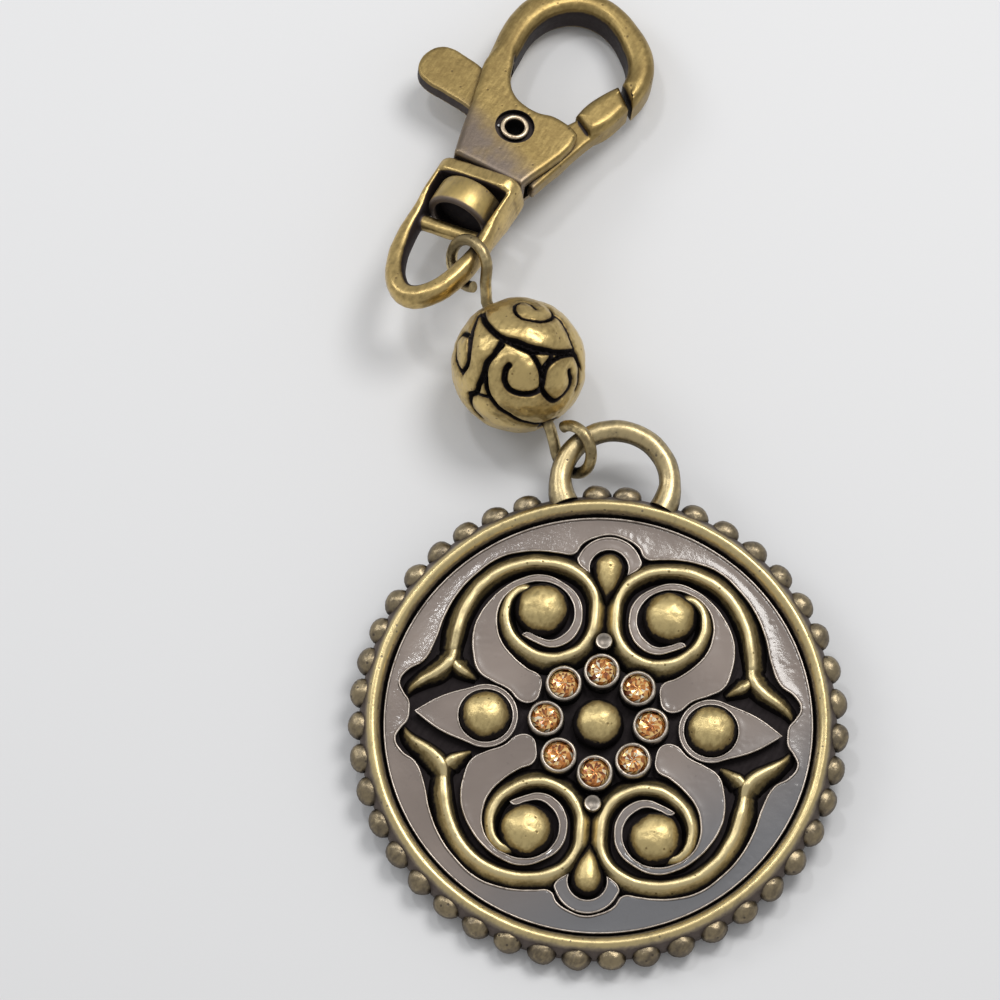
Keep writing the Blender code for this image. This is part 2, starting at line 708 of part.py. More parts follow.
def clasp_frame():
    """The clasp's frame, origin at the rivet, X to the gate's side, Y to the hook, Z up through the rivet."""
    eye = top_eye_centre()
    link = bow_point(BOW_LINK)
    reach = HOOK_REACH - BODY_EDGE - link.y
    depth = BODY_T / 2 + link.x * sin(SWIVEL_ROLL)
    tip = asin((eye.z - TABLE_Z) / hypot(reach, depth)) - atan2(depth, reach)
    along = Vector((sin(CLASP_HEADING) * cos(tip), cos(CLASP_HEADING) * cos(tip), -sin(tip)))
    right = Vector((cos(CLASP_HEADING), -sin(CLASP_HEADING), 0))
    up = right.cross(along)
    swivel_right = cos(SWIVEL_ROLL) * right + sin(SWIVEL_ROLL) * up
    rivet = eye - link.y * along - link.x * swivel_right
    return basis(rivet, right, along, up)


def swivel_frame():
    return clasp_frame() @ Matrix.Rotation(-SWIVEL_ROLL, 4, "Y")


def along_y(obj):
    """Turns a solid made along Z so that it lies along Y."""
    obj.data.transform(Matrix.Rotation(-pi / 2, 4, "X"))
    return obj


def rivet_cutter():
    """The body's bore with a wider seat at each face."""
    face = BODY_T / 2 + OVERRUN
    seat = BODY_T / 2 - RIVET_RIM_H - RIVET_SINK - RUNNING_GAP / 2
    bore = RIVET_R + RUNNING_GAP
    profile = [
        (0, face),
        (RIVET_SEAT_R, face),
        (RIVET_SEAT_R, seat),
        (bore, seat),
        (bore, -seat),
        (RIVET_SEAT_R, -seat),
        (RIVET_SEAT_R, -face),
        (0, -face),
    ]
    return turned("rivet_bore", profile, 24)


def spring_leg_angle(top):
    """Where a leg of the spring stands, seen from above."""
    return pi / 2 + (2 * pi * SPRING_TURNS if top else 0)


def make_clasp_body(carrier):
    outline = scaled(BODY_OUTER_SHARES, SNAP_UNIT) + scaled(BODY_INNER_SHARES, SNAP_UNIT)
    obj = plate("body", [outline], -BODY_T / 2, BODY_T / 2, BODY_EDGE)
    stem = along_y(turned("stem", [
        (0, BODY_FOOT + OVERRUN),
        (STEM_R, BODY_FOOT + OVERRUN),
        (STEM_R, CAP_TOP + FIT_GAP / 2),
        (STEM_END_R, CAP_TOP + FIT_GAP / 2),
        (STEM_END_R, CAP_FOOT + CAP_EDGE),
        (0, CAP_FOOT + CAP_EDGE),
    ], 20))
    combine(obj, stem, "UNION")
    combine(obj, plate("slot", [scaled(SLOT_SHARES, SNAP_UNIT)], -SLOT_W / 2, SLOT_W / 2), "DIFFERENCE")
    combine(obj, rivet_cutter(), "DIFFERENCE")
    hole = cylinder("spring_hole", SPRING_HOLE_R, 0, SLOT_W / 2 + SPRING_LEG + RUNNING_GAP / 2, 10)
    hole.data.transform(Matrix.Translation((*polar(SPRING_R, spring_leg_angle(True)), 0)))
    combine(obj, hole, "DIFFERENCE")
    keep(obj, "clasp_body", BRASS, carrier)


def make_swivel_cap(carrier):
    """The drum on the stem's end that keeps the swivel on."""
    bore = STEM_END_R + RUNNING_GAP
    obj = along_y(turned("cap", [
        (bore, CAP_TOP),
        (CAP_R - CAP_EDGE, CAP_TOP),
        (CAP_R, CAP_TOP - CAP_EDGE),
        (CAP_R, CAP_FOOT + CAP_EDGE),
        (CAP_R - CAP_EDGE, CAP_FOOT),
        (bore, CAP_FOOT),
    ], 28, closed=True))
    keep(obj, "swivel_cap", BRASS, carrier)


def make_gate_lever(carrier):
    """One lever: gate, hub with the spring's pocket, thumb tab and the lower strip in the slot."""
    obj = plate("lever", [scaled(LEVER_SHARES, SNAP_UNIT)], -TONGUE_T / 2, TONGUE_T / 2, TONGUE_EDGE)
    gate = plate("gate", [scaled(GATE_SHARES, SNAP_UNIT)], -GATE_T / 2, GATE_T / 2, GATE_EDGE)
    combine(obj, gate, "UNION")
    web = POCKET_WEB - TONGUE_T / 2
    combine(obj, cylinder("pocket", POCKET_R, web, TONGUE_T, 24), "DIFFERENCE")
    bore = cylinder("lever_bore", RIVET_R + RUNNING_GAP, -TONGUE_T, TONGUE_T, 24)
    combine(obj, bore, "DIFFERENCE")
    keep(obj, "gate_lever", BRASS, carrier)


def make_gate_rivet(carrier):
    top = BODY_T / 2 - RIVET_SINK
    under = top - RIVET_RIM_H
    obj = turned("rivet", [
        (RIVET_BORE_R, top),
        (RIVET_RIM_R, top),
        (RIVET_RIM_R, under),
        (RIVET_R, under),
        (RIVET_R, -under),
        (RIVET_RIM_R, -under),
        (RIVET_RIM_R, -top),
        (RIVET_BORE_R, -top),
    ], RIVET_STEPS, closed=True)
    keep(obj, "gate_rivet", BRASS, carrier)


def make_gate_spring(carrier):
    """A torsion spring round the rivet, its upper leg in the body and its lower end on the lever's web."""
    foot = POCKET_WEB - TONGUE_T / 2 + SPRING_WIRE_R + RUNNING_GAP / 2
    head = SLOT_W / 2 - SPRING_WIRE_R - RUNNING_GAP / 2
    steps = round(SPRING_TURNS * POINTS_PER_TURN)
    coil = []
    for step in range(steps + 1):
        share = step / steps
        angle = spring_leg_angle(False) + 2 * pi * SPRING_TURNS * share
        coil.append((*polar(SPRING_R, angle), foot + (head - foot) * share))
    coil.append((*coil[-1][:2], SLOT_W / 2 + SPRING_LEG))
    gap = least_gap(coil, SPRING_WIRE_R, POINTS_PER_TURN - 2)
    print(f"gate spring: least gap to itself {gap / MM:.2f} mm")
    keep(tube("spring", coil, [SPRING_WIRE_R] * len(coil), sides=1), "gate_spring", STEEL, carrier)


def swivel_band():
    """The flat band across the swivel's head, with round corners."""
    half_w = SWIVEL_W / 2
    corner_x = half_w - BAND_CORNER
    corner_z = BAND_DEPTH / 2 - BAND_CORNER
    outline = arc(BAND_CORNER, 0, pi / 2, 5, (corner_x, corner_z))
    outline += arc(BAND_CORNER, pi / 2, pi, 5, (-corner_x, corner_z))
    outline += arc(BAND_CORNER, pi, 3 * pi / 2, 5, (-corner_x, -corner_z))
    outline += arc(BAND_CORNER, 3 * pi / 2, 2 * pi, 5, (corner_x, -corner_z))
    return along_y(plate("band", [outline], BAND_TOP - BAND_T, BAND_TOP, BAND_EDGE))


def swivel_arm(side):
    """One arm: deep where it leaves the band and narrow where it meets the bow."""
    top = BAND_TOP - BAND_T / 2
    outline = [
        (-ARM_DEPTH / 2, top),
        (-ARM_DEPTH / 2, CAP_TOP),
        (-BOW_R, BAR_Y),
        (-BOW_R / 2, BOW_Y - BOW_DROP),
        (BOW_R / 2, BOW_Y - BOW_DROP),
        (BOW_R, BAR_Y),
        (ARM_DEPTH / 2, CAP_TOP),
        (ARM_DEPTH / 2, top),
    ]
    arm = plate("arm", [outline], -ARM_R, ARM_R, ARM_EDGE)
    arm.data.transform(Matrix.Translation((side * ARM_X, 0, 0)) @ Matrix.Rotation(pi / 2, 4, "Y"))
    return arm


def make_swivel_loop(carrier):
    """Band with the stem's hole, two arms, a cross-bar and the rounded bow, cast as one."""
    obj = swivel_band()
    combine(obj, joined("arms", [swivel_arm(-1), swivel_arm(1)]), "UNION")
    points = [Vector((ARM_X, BAR_Y, 0))]
    points += [bow_point(pi * step / BOW_POINTS) for step in range(BOW_POINTS + 1)]
    points += [Vector((-ARM_X, BAR_Y, 0))]
    radii = [ARM_R] + [BOW_R] * (BOW_POINTS + 1) + [ARM_R]
    combine(obj, tube("bow", points, radii), "UNION")
    bar = tube("bar", [(-ARM_X, BAR_Y, 0), (ARM_X, BAR_Y, 0)], [BAR_R, BAR_R])
    combine(obj, bar, "UNION")
    hole = cylinder("stem_hole", STEM_R + RUNNING_GAP, -BAND_T, BAND_T)
    hole = along_y(hole)
    hole.data.transform(Matrix.Translation((0, BAND_TOP - BAND_T / 2, 0)))
    combine(obj, hole, "DIFFERENCE")
    keep(obj, "swivel_loop", BRASS, carrier)


clear_scene()
PARTS = new_collection("bohemian_keychain")
CUTTERS = new_collection("cutters")
CUTTERS.hide_render = True
BRASS = new_material("antique_brass", (0.36, 0.27, 0.11), 0.38, 1.0)
BRASS_DARK = new_material("dark_brass", (0.24, 0.19, 0.10), 0.42, 1.0)
ENAMEL = new_material("grey_enamel", (0.20, 0.17, 0.16), 0.18, 0.0)
STONE = new_material("amber_stone", (0.78, 0.36, 0.08), 0.05, 0.0)
STEEL = new_material("spring_steel", (0.45, 0.45, 0.46), 0.30, 1.0)

medallion_carrier = new_empty("medallion_carrier", lean_medallion())
link_place, _ = hoop_link()
pin_carrier = new_empty("pin_carrier", Matrix.Translation(link_place))
bead_carrier = new_empty("bead_carrier", bead_frame(), pin_carrier)
swivel_hinge = new_empty("swivel_hinge", Matrix.Translation(top_eye_centre()), pin_carrier)
swivel_carrier = new_empty("swivel_carrier", swivel_frame(), swivel_hinge)
clasp_carrier = new_empty("clasp_carrier", clasp_frame(), swivel_carrier)
bpy.context.view_layer.update()

make_medallion(medallion_carrier)
make_enamel(medallion_carrier)
make_stones(medallion_carrier)
make_pin(pin_carrier)
make_bead(bead_carrier)
make_swivel_loop(swivel_carrier)
make_clasp_body(clasp_carrier)
make_swivel_cap(clasp_carrier)
make_gate_lever(clasp_carrier)
make_gate_rivet(clasp_carrier)
make_gate_spring(clasp_carrier)
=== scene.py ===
"""The look of a brass keychain on a pale table: snap hook, swivel, carved bead and enamelled medallion."""

import json
from math import acos, atan2, cos, exp, hypot, pi, radians, sin, sqrt
from random import Random

import bmesh
import bpy
import numpy as np
from mathutils import Matrix, Vector, noise
from mathutils.kdtree import KDTree


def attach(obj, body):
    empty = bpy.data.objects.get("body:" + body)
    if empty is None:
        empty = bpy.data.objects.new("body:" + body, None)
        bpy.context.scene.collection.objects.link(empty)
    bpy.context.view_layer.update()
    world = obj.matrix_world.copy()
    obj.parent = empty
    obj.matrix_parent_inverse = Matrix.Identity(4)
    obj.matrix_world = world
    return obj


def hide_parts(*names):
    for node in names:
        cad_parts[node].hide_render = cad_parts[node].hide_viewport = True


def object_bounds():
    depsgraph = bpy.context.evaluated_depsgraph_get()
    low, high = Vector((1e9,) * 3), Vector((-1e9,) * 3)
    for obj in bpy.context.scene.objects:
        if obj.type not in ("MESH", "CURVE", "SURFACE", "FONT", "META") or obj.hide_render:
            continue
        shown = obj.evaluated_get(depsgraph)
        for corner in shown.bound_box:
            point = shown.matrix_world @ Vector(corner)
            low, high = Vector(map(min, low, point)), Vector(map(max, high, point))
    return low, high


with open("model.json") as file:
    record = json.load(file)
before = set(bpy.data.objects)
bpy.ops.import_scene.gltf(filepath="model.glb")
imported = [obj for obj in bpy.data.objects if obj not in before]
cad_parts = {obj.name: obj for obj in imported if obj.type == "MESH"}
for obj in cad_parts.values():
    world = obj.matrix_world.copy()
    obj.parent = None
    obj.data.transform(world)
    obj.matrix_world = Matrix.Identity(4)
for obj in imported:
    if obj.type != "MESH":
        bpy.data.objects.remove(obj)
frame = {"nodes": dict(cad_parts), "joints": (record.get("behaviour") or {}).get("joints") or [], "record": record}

cad_box = [list(corner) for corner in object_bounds()]

# The camera looks down on the table from the medallion's end. Its frame is ten centimetres wide at the
# table, and the picture's upright leans a little away from the chain's own length.
MM = 0.001
CAMERA_RISE = radians(69)
CAMERA_TURN = radians(4.2)
CAMERA_REACH = 560 * MM
CAMERA_NEAR = 10 * MM
VIEW_W = 101 * MM
VIEW_CENTRE = Vector((-11.5, 23.6, 0)) * MM

upright = Vector((-sin(CAMERA_TURN), cos(CAMERA_TURN), 0))
sideways = Vector((cos(CAMERA_TURN), sin(CAMERA_TURN), 0))
to_camera = Vector((0, 0, sin(CAMERA_RISE))) - cos(CAMERA_RISE) * upright
camera_data = bpy.data.cameras.new("camera")
camera_data.lens = camera_data.sensor_width * CAMERA_REACH / VIEW_W
camera_data.clip_start = CAMERA_NEAR
camera = bpy.data.objects.new("camera", camera_data)
bpy.context.scene.collection.objects.link(camera)
camera.matrix_world = Matrix((sideways, to_camera.cross(sideways), to_camera)).transposed().to_4x4()
camera.location = VIEW_CENTRE + CAMERA_REACH * to_camera
bpy.context.scene.camera = camera
bpy.context.scene.view_settings.view_transform = "Standard"

# The studio is a pale tabletop under a wide softbox above the snap's side, a weaker one on the left and a
# small one near the top left. The room is an even soft white, a little darker than the tabletop.
FLOOR_COLOUR = (0.775, 0.782, 0.80, 1)
ROOM_STRENGTH = 0.505
FLOOR_W = 3.0
table_z = cad_box[0][2]

bpy.ops.object.select_all(action="DESELECT")
bpy.ops.mesh.primitive_plane_add(size=FLOOR_W, location=(0, 0, table_z))
floor = bpy.context.object
floor.name = "tabletop"
floor_material = bpy.data.materials.new("tabletop")
floor_material.use_nodes = True
floor_shader = floor_material.node_tree.nodes["Principled BSDF"]
floor_shader.inputs["Base Color"].default_value = FLOOR_COLOUR
floor_shader.inputs["Roughness"].default_value = 0.6
floor_shader.inputs["Specular IOR Level"].default_value = 0.2
floor.data.materials.append(floor_material)

world = bpy.data.worlds.new("room")
bpy.context.scene.world = world
world.use_nodes = True
room = world.node_tree.nodes["Background"]
room.inputs["Color"].default_value = (1.0, 0.995, 0.985, 1)
room.inputs["Strength"].default_value = ROOM_STRENGTH


def softbox(name, place, aim, size, power, colour):
    """A round soft lamp at a place, turned to what it lights."""
    data = bpy.data.lights.new(name, "AREA")
    data.shape = "DISK"
    data.size = size
    data.energy = power
    data.color = colour
    lamp = bpy.data.objects.new(name, data)
    bpy.context.scene.collection.objects.link(lamp)
    lamp.location = place
    lamp.rotation_euler = (Vector(place) - Vector(aim)).to_track_quat("Z", "Y").to_euler()


softbox("overhead_softbox", (0.12, 0.19, 0.36), VIEW_CENTRE, 0.18, 0.70, (1.0, 0.985, 0.96))
softbox("left_softbox", (-0.30, 0.16, 0.24), VIEW_CENTRE, 0.14, 0.20, (0.98, 0.99, 1.0))
softbox("upper_left_softbox", (-0.115, 0.165, 0.36), (0, 0, 0), 0.045, 0.15, (1.0, 1.0, 1.0))

# The medallion's plate is one casting with a flat back, a skirt, a raised rim and a sunk floor for the
# enamel. The whole casting is antique brass: dark in the hollows and rubbed bright on every crest.
BACK_R = 23.4
SKIRT_R = 23.7
RIM_R = 22.5
RIM_TOP = 3.3
FLOOR_R = 21.42
FLOOR_Z = 1.2
RIM_PROFILE = (
    (0.0, FLOOR_Z), (10.0, FLOOR_Z), (18.0, FLOOR_Z), (FLOOR_R - 0.15, FLOOR_Z), (FLOOR_R, 1.5), (21.54, 2.1),
    (21.70, 2.6), (21.92, 3.02), (22.2, 3.22), (RIM_R, RIM_TOP), (22.7, 3.22), (22.92, 3.0), (23.15, 2.66),
    (23.38, 2.3), (23.58, 1.9), (SKIRT_R, 1.5), (SKIRT_R, 0.5), (23.62, 0.2), (BACK_R, 0.0), (12.0, 0.0),
    (0.0, 0.0),
)
SMOOTH_TURN = radians(50)
BRUSH_TURN = radians(-25)
HOLLOW = (0.024, 0.020, 0.021, 1)
BLOOM = (0.185, 0.152, 0.135, 1)
back_axis = Vector(frame["record"]["mounts"][0]["axis"])
medallion_place = Matrix.Rotation(atan2(back_axis.y, -back_axis.z), 4, "X") @ Matrix.Scale(MM, 4)


def alone(piece):
    """Makes a piece the only one selected, and the active one."""
    bpy.ops.object.select_all(action="DESELECT")
    piece.select_set(True)
    bpy.context.view_layer.objects.active = piece
    return piece


def mesh_piece(name, points, edges=(), faces=()):
    """A new piece from its points, edges and faces."""
    mesh = bpy.data.meshes.new(name)
    mesh.from_pydata(points, edges, faces)
    piece = bpy.data.objects.new(name, mesh)
    bpy.context.scene.collection.objects.link(piece)
    return alone(piece)


def made_solid(piece):
    """Merges a piece's doubles and turns all its faces outwards."""
    bpy.ops.object.mode_set(mode="EDIT")
    bpy.ops.mesh.select_all(action="SELECT")
    bpy.ops.mesh.remove_doubles(threshold=1e-4)
    bpy.ops.mesh.normals_make_consistent(inside=False)
    bpy.ops.object.mode_set(mode="OBJECT")
    return piece


def spun(name, profile, steps, closed=False):
    """A profile of (radius, height) points spun round Z in edit mode."""
    count = len(profile)
    edges = [(place, place + 1) for place in range(count - 1)]
    if closed:
        edges.append((count - 1, 0))
    piece = mesh_piece(name, [(radius, 0, height) for radius, height in profile], edges)
    bpy.ops.object.mode_set(mode="EDIT")
    bpy.ops.mesh.select_all(action="SELECT")
    bpy.ops.mesh.spin(steps=steps, angle=2 * pi, center=(0, 0, 0), axis=(0, 0, 1))
    bpy.ops.object.mode_set(mode="OBJECT")
    return made_solid(piece)


def uneven(piece, size, strength):
    """Moves the surface in and out by a soft noise, as hand-finished castings are never quite true."""
    points = [
        vertex.co + vertex.normal * strength * noise.noise(vertex.co / size) for vertex in piece.data.vertices
    ]
    for vertex, point in zip(piece.data.vertices, points):
        vertex.co = point
    return piece


def seated(piece, place, body, slot, material, *nodes):
    """Puts a finished piece, modelled in millimetres in its own frame, where it belongs on its body."""
    alone(piece)
    piece.data.transform(place)
    bpy.ops.object.shade_smooth_by_angle(angle=SMOOTH_TURN)
    piece.data.materials.clear()
    piece.data.materials.append(material)
    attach(piece, body)
    if nodes:
        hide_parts(*nodes)
    return piece


def node_in(tree, kind, inputs=(), **settings):
    """A shader node with its settings; inputs maps a socket to a value or to another node's output."""
    made = tree.nodes.new(kind)
    for key, value in settings.items():
        setattr(made, key, value)
    for key, value in dict(inputs).items():
        if isinstance(value, bpy.types.NodeSocket):
            tree.links.new(value, made.inputs[key])
        else:
            made.inputs[key].default_value = value
    return made


def ramp(tree, value, low, high, start=0.0, end=1.0):
    """A smooth step of a value from start to end."""
    inputs = {0: value, 1: low, 2: high, 3: start, 4: end}
    return node_in(tree, "ShaderNodeMapRange", inputs, interpolation_type="SMOOTHSTEP").outputs[0]


def blended(tree, factor, first, second):
    """A colour mixed between two colours."""
    return node_in(tree, "ShaderNodeMix", {0: factor, 6: first, 7: second}, data_type="RGBA").outputs[2]


def reckoned(tree, operation, first, second):
    """The result of one sum on two values."""
    return node_in(tree, "ShaderNodeMath", {0: first, 1: second}, operation=operation).outputs[0]


def added(tree, *values):
    total = values[0]
    for value in values[1:]:
        total = reckoned(tree, "ADD", total, value)
    return total


def times(tree, value, factor):
    return reckoned(tree, "MULTIPLY", value, factor)


def grain(tree, vector, scale, detail, roughness=0.5):
    """A soft noise over the surface, to either side of a half."""
    inputs = {"Vector": vector, "Scale": scale, "Detail": detail, "Roughness": roughness}
    return node_in(tree, "ShaderNodeTexNoise", inputs).outputs[0]


def object_coords(tree):
    return tree.nodes.new("ShaderNodeTexCoord").outputs["Object"]


def aged_brass_group():
    """Patina over brass: a mask of wear and painted shade in, and a colour, a roughness and a height out."""
    tree = bpy.data.node_groups.new("aged_brass", "ShaderNodeTree")
    for way, names, kind in (
        ("INPUT", ("Wear_shade_mask", "Polish", "Mottle"), "NodeSocketFloat"),
        ("INPUT", ("Crest", "Field", "Hollow"), "NodeSocketColor"),
        ("OUTPUT", ("Color",), "NodeSocketColor"),
        ("OUTPUT", ("Roughness", "Height"), "NodeSocketFloat"),
    ):
        for name in names:
            tree.interface.new_socket(name=name, in_out=way, socket_type=kind)
    given = tree.nodes.new("NodeGroupInput")
    wanted = tree.nodes.new("NodeGroupOutput")
    coords = object_coords(tree)
    drawn_out = {"Vector": coords, "Rotation": (0, 0, BRUSH_TURN), "Scale": (1, 9, 1)}
    lengthwise = node_in(tree, "ShaderNodeMapping", drawn_out, vector_type="TEXTURE").outputs[0]
    broad = grain(tree, coords, 320.0, 4.0, 0.6)
    fine = grain(tree, coords, 2100.0, 5.0, 0.62)
    grit = grain(tree, coords, 9000.0, 2.0)
    brush = grain(tree, lengthwise, 3000.0, 3.0)
    pits = node_in(tree, "ShaderNodeTexVoronoi", {"Vector": coords, "Scale": 900.0, "Randomness": 1.0})
    pit = ramp(tree, pits.outputs["Distance"], 0.05, 0.17)

    def swing(value, amount):
        return times(tree, reckoned(tree, "SUBTRACT", value, 0.5), amount)

    mottle = added(tree, swing(broad, 0.75), swing(fine, 0.55), swing(brush, 0.50))
    mask = added(tree, given.outputs["Wear_shade_mask"], times(tree, mottle, given.outputs["Mottle"]))
    pitted = times(tree, mask, ramp(tree, pit, 0.0, 1.0, 0.45, 1.0))
    base = blended(tree, ramp(tree, pitted, 0.05, 0.48), given.outputs["Hollow"], given.outputs["Field"])
    colour = blended(tree, ramp(tree, pitted, 0.50, 1.05), base, given.outputs["Crest"])
    unevenness = added(tree, swing(fine, 0.20), swing(brush, 0.25))
    rough = added(tree, ramp(tree, pitted, 0.1, 1.0, 0.60, 0.33), unevenness)
    rough = reckoned(tree, "SUBTRACT", rough, given.outputs["Polish"])
    reliefs = ((fine, 0.55), (grit, 0.14), (brush, 0.30), (pit, 0.35))
    height = added(tree, *(times(tree, value, share) for value, share in reliefs))
    tree.links.new(colour, wanted.inputs["Color"])
    tree.links.new(rough, wanted.inputs["Roughness"])
    tree.links.new(height, wanted.inputs["Height"])
    return tree


aged_brass = aged_brass_group()


def brass_material(
    name, wear_and_shade, crest, field, hollow=HOLLOW, polish=0.0, relief=0.05, reach=0.9, dark=0.95, mottle=1.0,
    bloom=None,
):
    """An aged brass finish. Its mask function adds the nodes of a mask of wear, on some pieces with painted shade
    too, and returns its output, and bloom does the same for the mauve tarnish that stays where nothing rubs."""
    material = bpy.data.materials.new(name)
    material.use_nodes = True
    tree = material.node_tree
    shader = tree.nodes["Principled BSDF"]
    shader.inputs["Metallic"].default_value = 1.0
    shut = node_in(tree, "ShaderNodeAmbientOcclusion", {"Distance": reach * MM}, samples=6)
    open_air = ramp(tree, shut.outputs["AO"], 0.25, dark, -0.65, 0.0)
    group = node_in(tree, "ShaderNodeGroup", node_tree=aged_brass)
    tree.links.new(added(tree, wear_and_shade(tree), open_air), group.inputs["Wear_shade_mask"])
    values = {"Crest": crest, "Field": field, "Hollow": hollow, "Polish": polish, "Mottle": mottle}
    for socket, value in values.items():
        group.inputs[socket].default_value = value
    colour = group.outputs["Color"]
    if bloom:
        colour = blended(tree, bloom(tree), colour, BLOOM)
    raised = {"Height": group.outputs["Height"], "Strength": 0.6, "Distance": relief * MM}
    bump = node_in(tree, "ShaderNodeBump", raised)
    tree.links.new(colour, shader.inputs["Base Color"])
    tree.links.new(group.outputs["Roughness"], shader.inputs["Roughness"])
    tree.links.new(bump.outputs["Normal"], shader.inputs["Normal"])
    return material


def own_place(tree, place):
    """A point's place in a piece's own frame, in millimetres."""
    turn = (place @ Matrix.Scale(1 / MM, 4)).inverted().to_euler()
    shift = place.inverted().translation
    mapping = {"Vector": object_coords(tree), "Location": shift, "Rotation": turn, "Scale": (1 / MM,) * 3}
    return node_in(tree, "ShaderNodeMapping", mapping).outputs[0]


def own_axis(tree, place, axis):
    """A point's X, Y or Z in a piece's own frame, in millimetres."""
    return node_in(tree, "ShaderNodeSeparateXYZ", {0: own_place(tree, place)}).outputs[axis]


def own_radius(tree, place, kept=(1, 1, 0)):
    """A point's distance from the upright of a piece's own frame, or from the axis that kept leaves out."""
    inputs = {0: own_place(tree, place), 1: kept}
    flat = node_in(tree, "ShaderNodeVectorMath", inputs, operation="MULTIPLY").outputs[0]
    return node_in(tree, "ShaderNodeVectorMath", {0: flat}, operation="LENGTH").outputs["Value"]


def by_height(low, high, foot, top):
    """A mask that rises with the height over the medallion's back: rubbed wear on crests, and painted shade low on
    the domes and edge beads.
    """
    return lambda tree: ramp(tree, own_axis(tree, medallion_place, "Z"), low, high, foot, top)


def rim_wear(tree):
    """Black on the sunk floor, dull on the skirt, and bright on the rim's crest."""
    radius = own_radius(tree, medallion_place)
    outside = ramp(tree, radius, FLOOR_R - 0.1, FLOOR_R + 0.25, -0.60, 0.0)
    slope = ramp(tree, radius, RIM_R + 0.1, RIM_R + 0.75, 0.0, -0.34)
    return added(tree, by_height(2.2, 3.26, 0.28, 1.05)(tree), outside, slope)


def rim_bloom(tree):
    """Mauve on the rim's outer slope and down the skirt."""
    return ramp(tree, own_radius(tree, medallion_place), RIM_R + 0.15, RIM_R + 0.8, 0.0, 0.7)


rim_brass = brass_material(
    "rim_brass", rim_wear, crest=(0.65, 0.525, 0.27, 1), field=(0.28, 0.232, 0.155, 1), bloom=rim_bloom,
)
plate = spun("medallion_plate", RIM_PROFILE, 160)
uneven(plate, 2.2, 0.05)
seated(plate, medallion_place, "medallion", "medallion_brass", rim_brass, "medallion")

# Forty-one beads stand round the edge. They are cast with the plate from a hand-cut model, so their steps
# and shapes are not quite alike. They are duller than the rim and darkest low down: partly patina, partly painted
# shade.
EDGE_BEAD_R = 1.42
EDGE_BEAD_LONG_SHARE = 1.14
EDGE_BEAD_LOW_SHARE = 0.88
EDGE_BEAD_ROUGH_SHARE = 0.22
EDGE_RING_R = 23.55
EDGE_BEAD_Z = 1.45
EDGE_BEARINGS = (
    3.2, 20.2, 28.7, 37.3, 46.0, 54.7, 63.3, 72.0, 80.6, 89.0, 97.2, 105.3, 113.5, 121.8, 130.3, 138.8,
    147.4, 156.1, 164.7, 173.0, 181.2, 189.6, 198.0, 206.5, 215.0, 223.6, 232.2, 240.8, 249.2, 257.6, 265.8,
    273.9, 281.9, 290.0, 298.1, 306.2, 314.3, 322.3, 330.4, 338.6, 355.8,
)


def edge_bead(turn, seed):
    """A low oval bead with its own small dents, at its bearing on the edge."""
    bpy.ops.object.select_all(action="DESELECT")
    bpy.ops.mesh.primitive_uv_sphere_add(segments=20, ring_count=12, radius=EDGE_BEAD_R)
    bead = bpy.context.object
    bpy.ops.object.mode_set(mode="EDIT")
    bpy.ops.mesh.select_all(action="SELECT")
    bpy.ops.transform.vertex_random(offset=EDGE_BEAD_ROUGH_SHARE * EDGE_BEAD_R, seed=seed)
    bpy.ops.mesh.vertices_smooth(factor=0.6, repeat=3)
    bpy.ops.object.mode_set(mode="OBJECT")
    for vertex in bead.data.vertices:
        vertex.co.x *= EDGE_BEAD_LONG_SHARE
        vertex.co.z *= EDGE_BEAD_LOW_SHARE
    place = Matrix.Rotation(-turn, 4, "Z") @ Matrix.Translation((0, EDGE_RING_R, EDGE_BEAD_Z))
    bead.data.transform(place)
    return bead


def joined(name, pieces):
    """Several pieces joined into the first."""
    bpy.ops.object.select_all(action="DESELECT")
    for piece in pieces:
        piece.select_set(True)
    bpy.context.view_layer.objects.active = pieces[0]
    bpy.ops.object.join()
    pieces[0].name = name
    return pieces[0]


edge = [edge_bead(radians(bearing), number) for number, bearing in enumerate(EDGE_BEARINGS)]
# Painted shade: the height mask darkens the beads' lower sides, on top of their duller patina.
edge_brass = brass_material(
    "edge_brass", by_height(0.6, 2.6, 0.15, 0.86), crest=(0.34, 0.275, 0.172, 1),
    field=(0.14, 0.116, 0.088, 1), relief=0.12, dark=0.85,
)
seated(joined("edge_beads", edge), medallion_place, "medallion", "medallion_brass", edge_brass)

# The hoop is cast with the plate at its top edge, of the same brass. It is a round bar whose two feet
# spread where they meet the skirt.
HOOP_Y = 25.0
HOOP_R = 5.5
HOOP_WIRE_R = 1.092
HOOP_FLARE = 0.6825
HOOP_Z = 2.1
HOOP_DIP = radians(27)
HOOP_STEPS = 40


def wire(name, points, radii, cyclic=False, sides=6, steps=1):
    """A round bar along points, swelling and tapering with its radii, made a mesh with closed ends."""
    curve = bpy.data.curves.new(name, "CURVE")
    curve.dimensions = "3D"
    curve.bevel_depth = 1
    curve.bevel_resolution = sides
    curve.resolution_u = steps
    curve.use_fill_caps = not cyclic
    spline = curve.splines.new("BEZIER")
    spline.bezier_points.add(len(points) - 1)
    for knot, point, radius in zip(spline.bezier_points, points, radii):
        knot.co = point
        knot.radius = radius
        knot.handle_left_type = "AUTO"
        knot.handle_right_type = "AUTO"
    spline.use_cyclic_u = cyclic
    return from_curve(name, curve)


def from_curve(name, curve):
    """A curve made a closed mesh, with its doubles merged and its faces turned outwards."""
    piece = bpy.data.objects.new(name, curve)
    bpy.context.scene.collection.objects.link(piece)
    alone(piece)
    bpy.ops.object.convert(target="MESH")
    return made_solid(bpy.context.object)


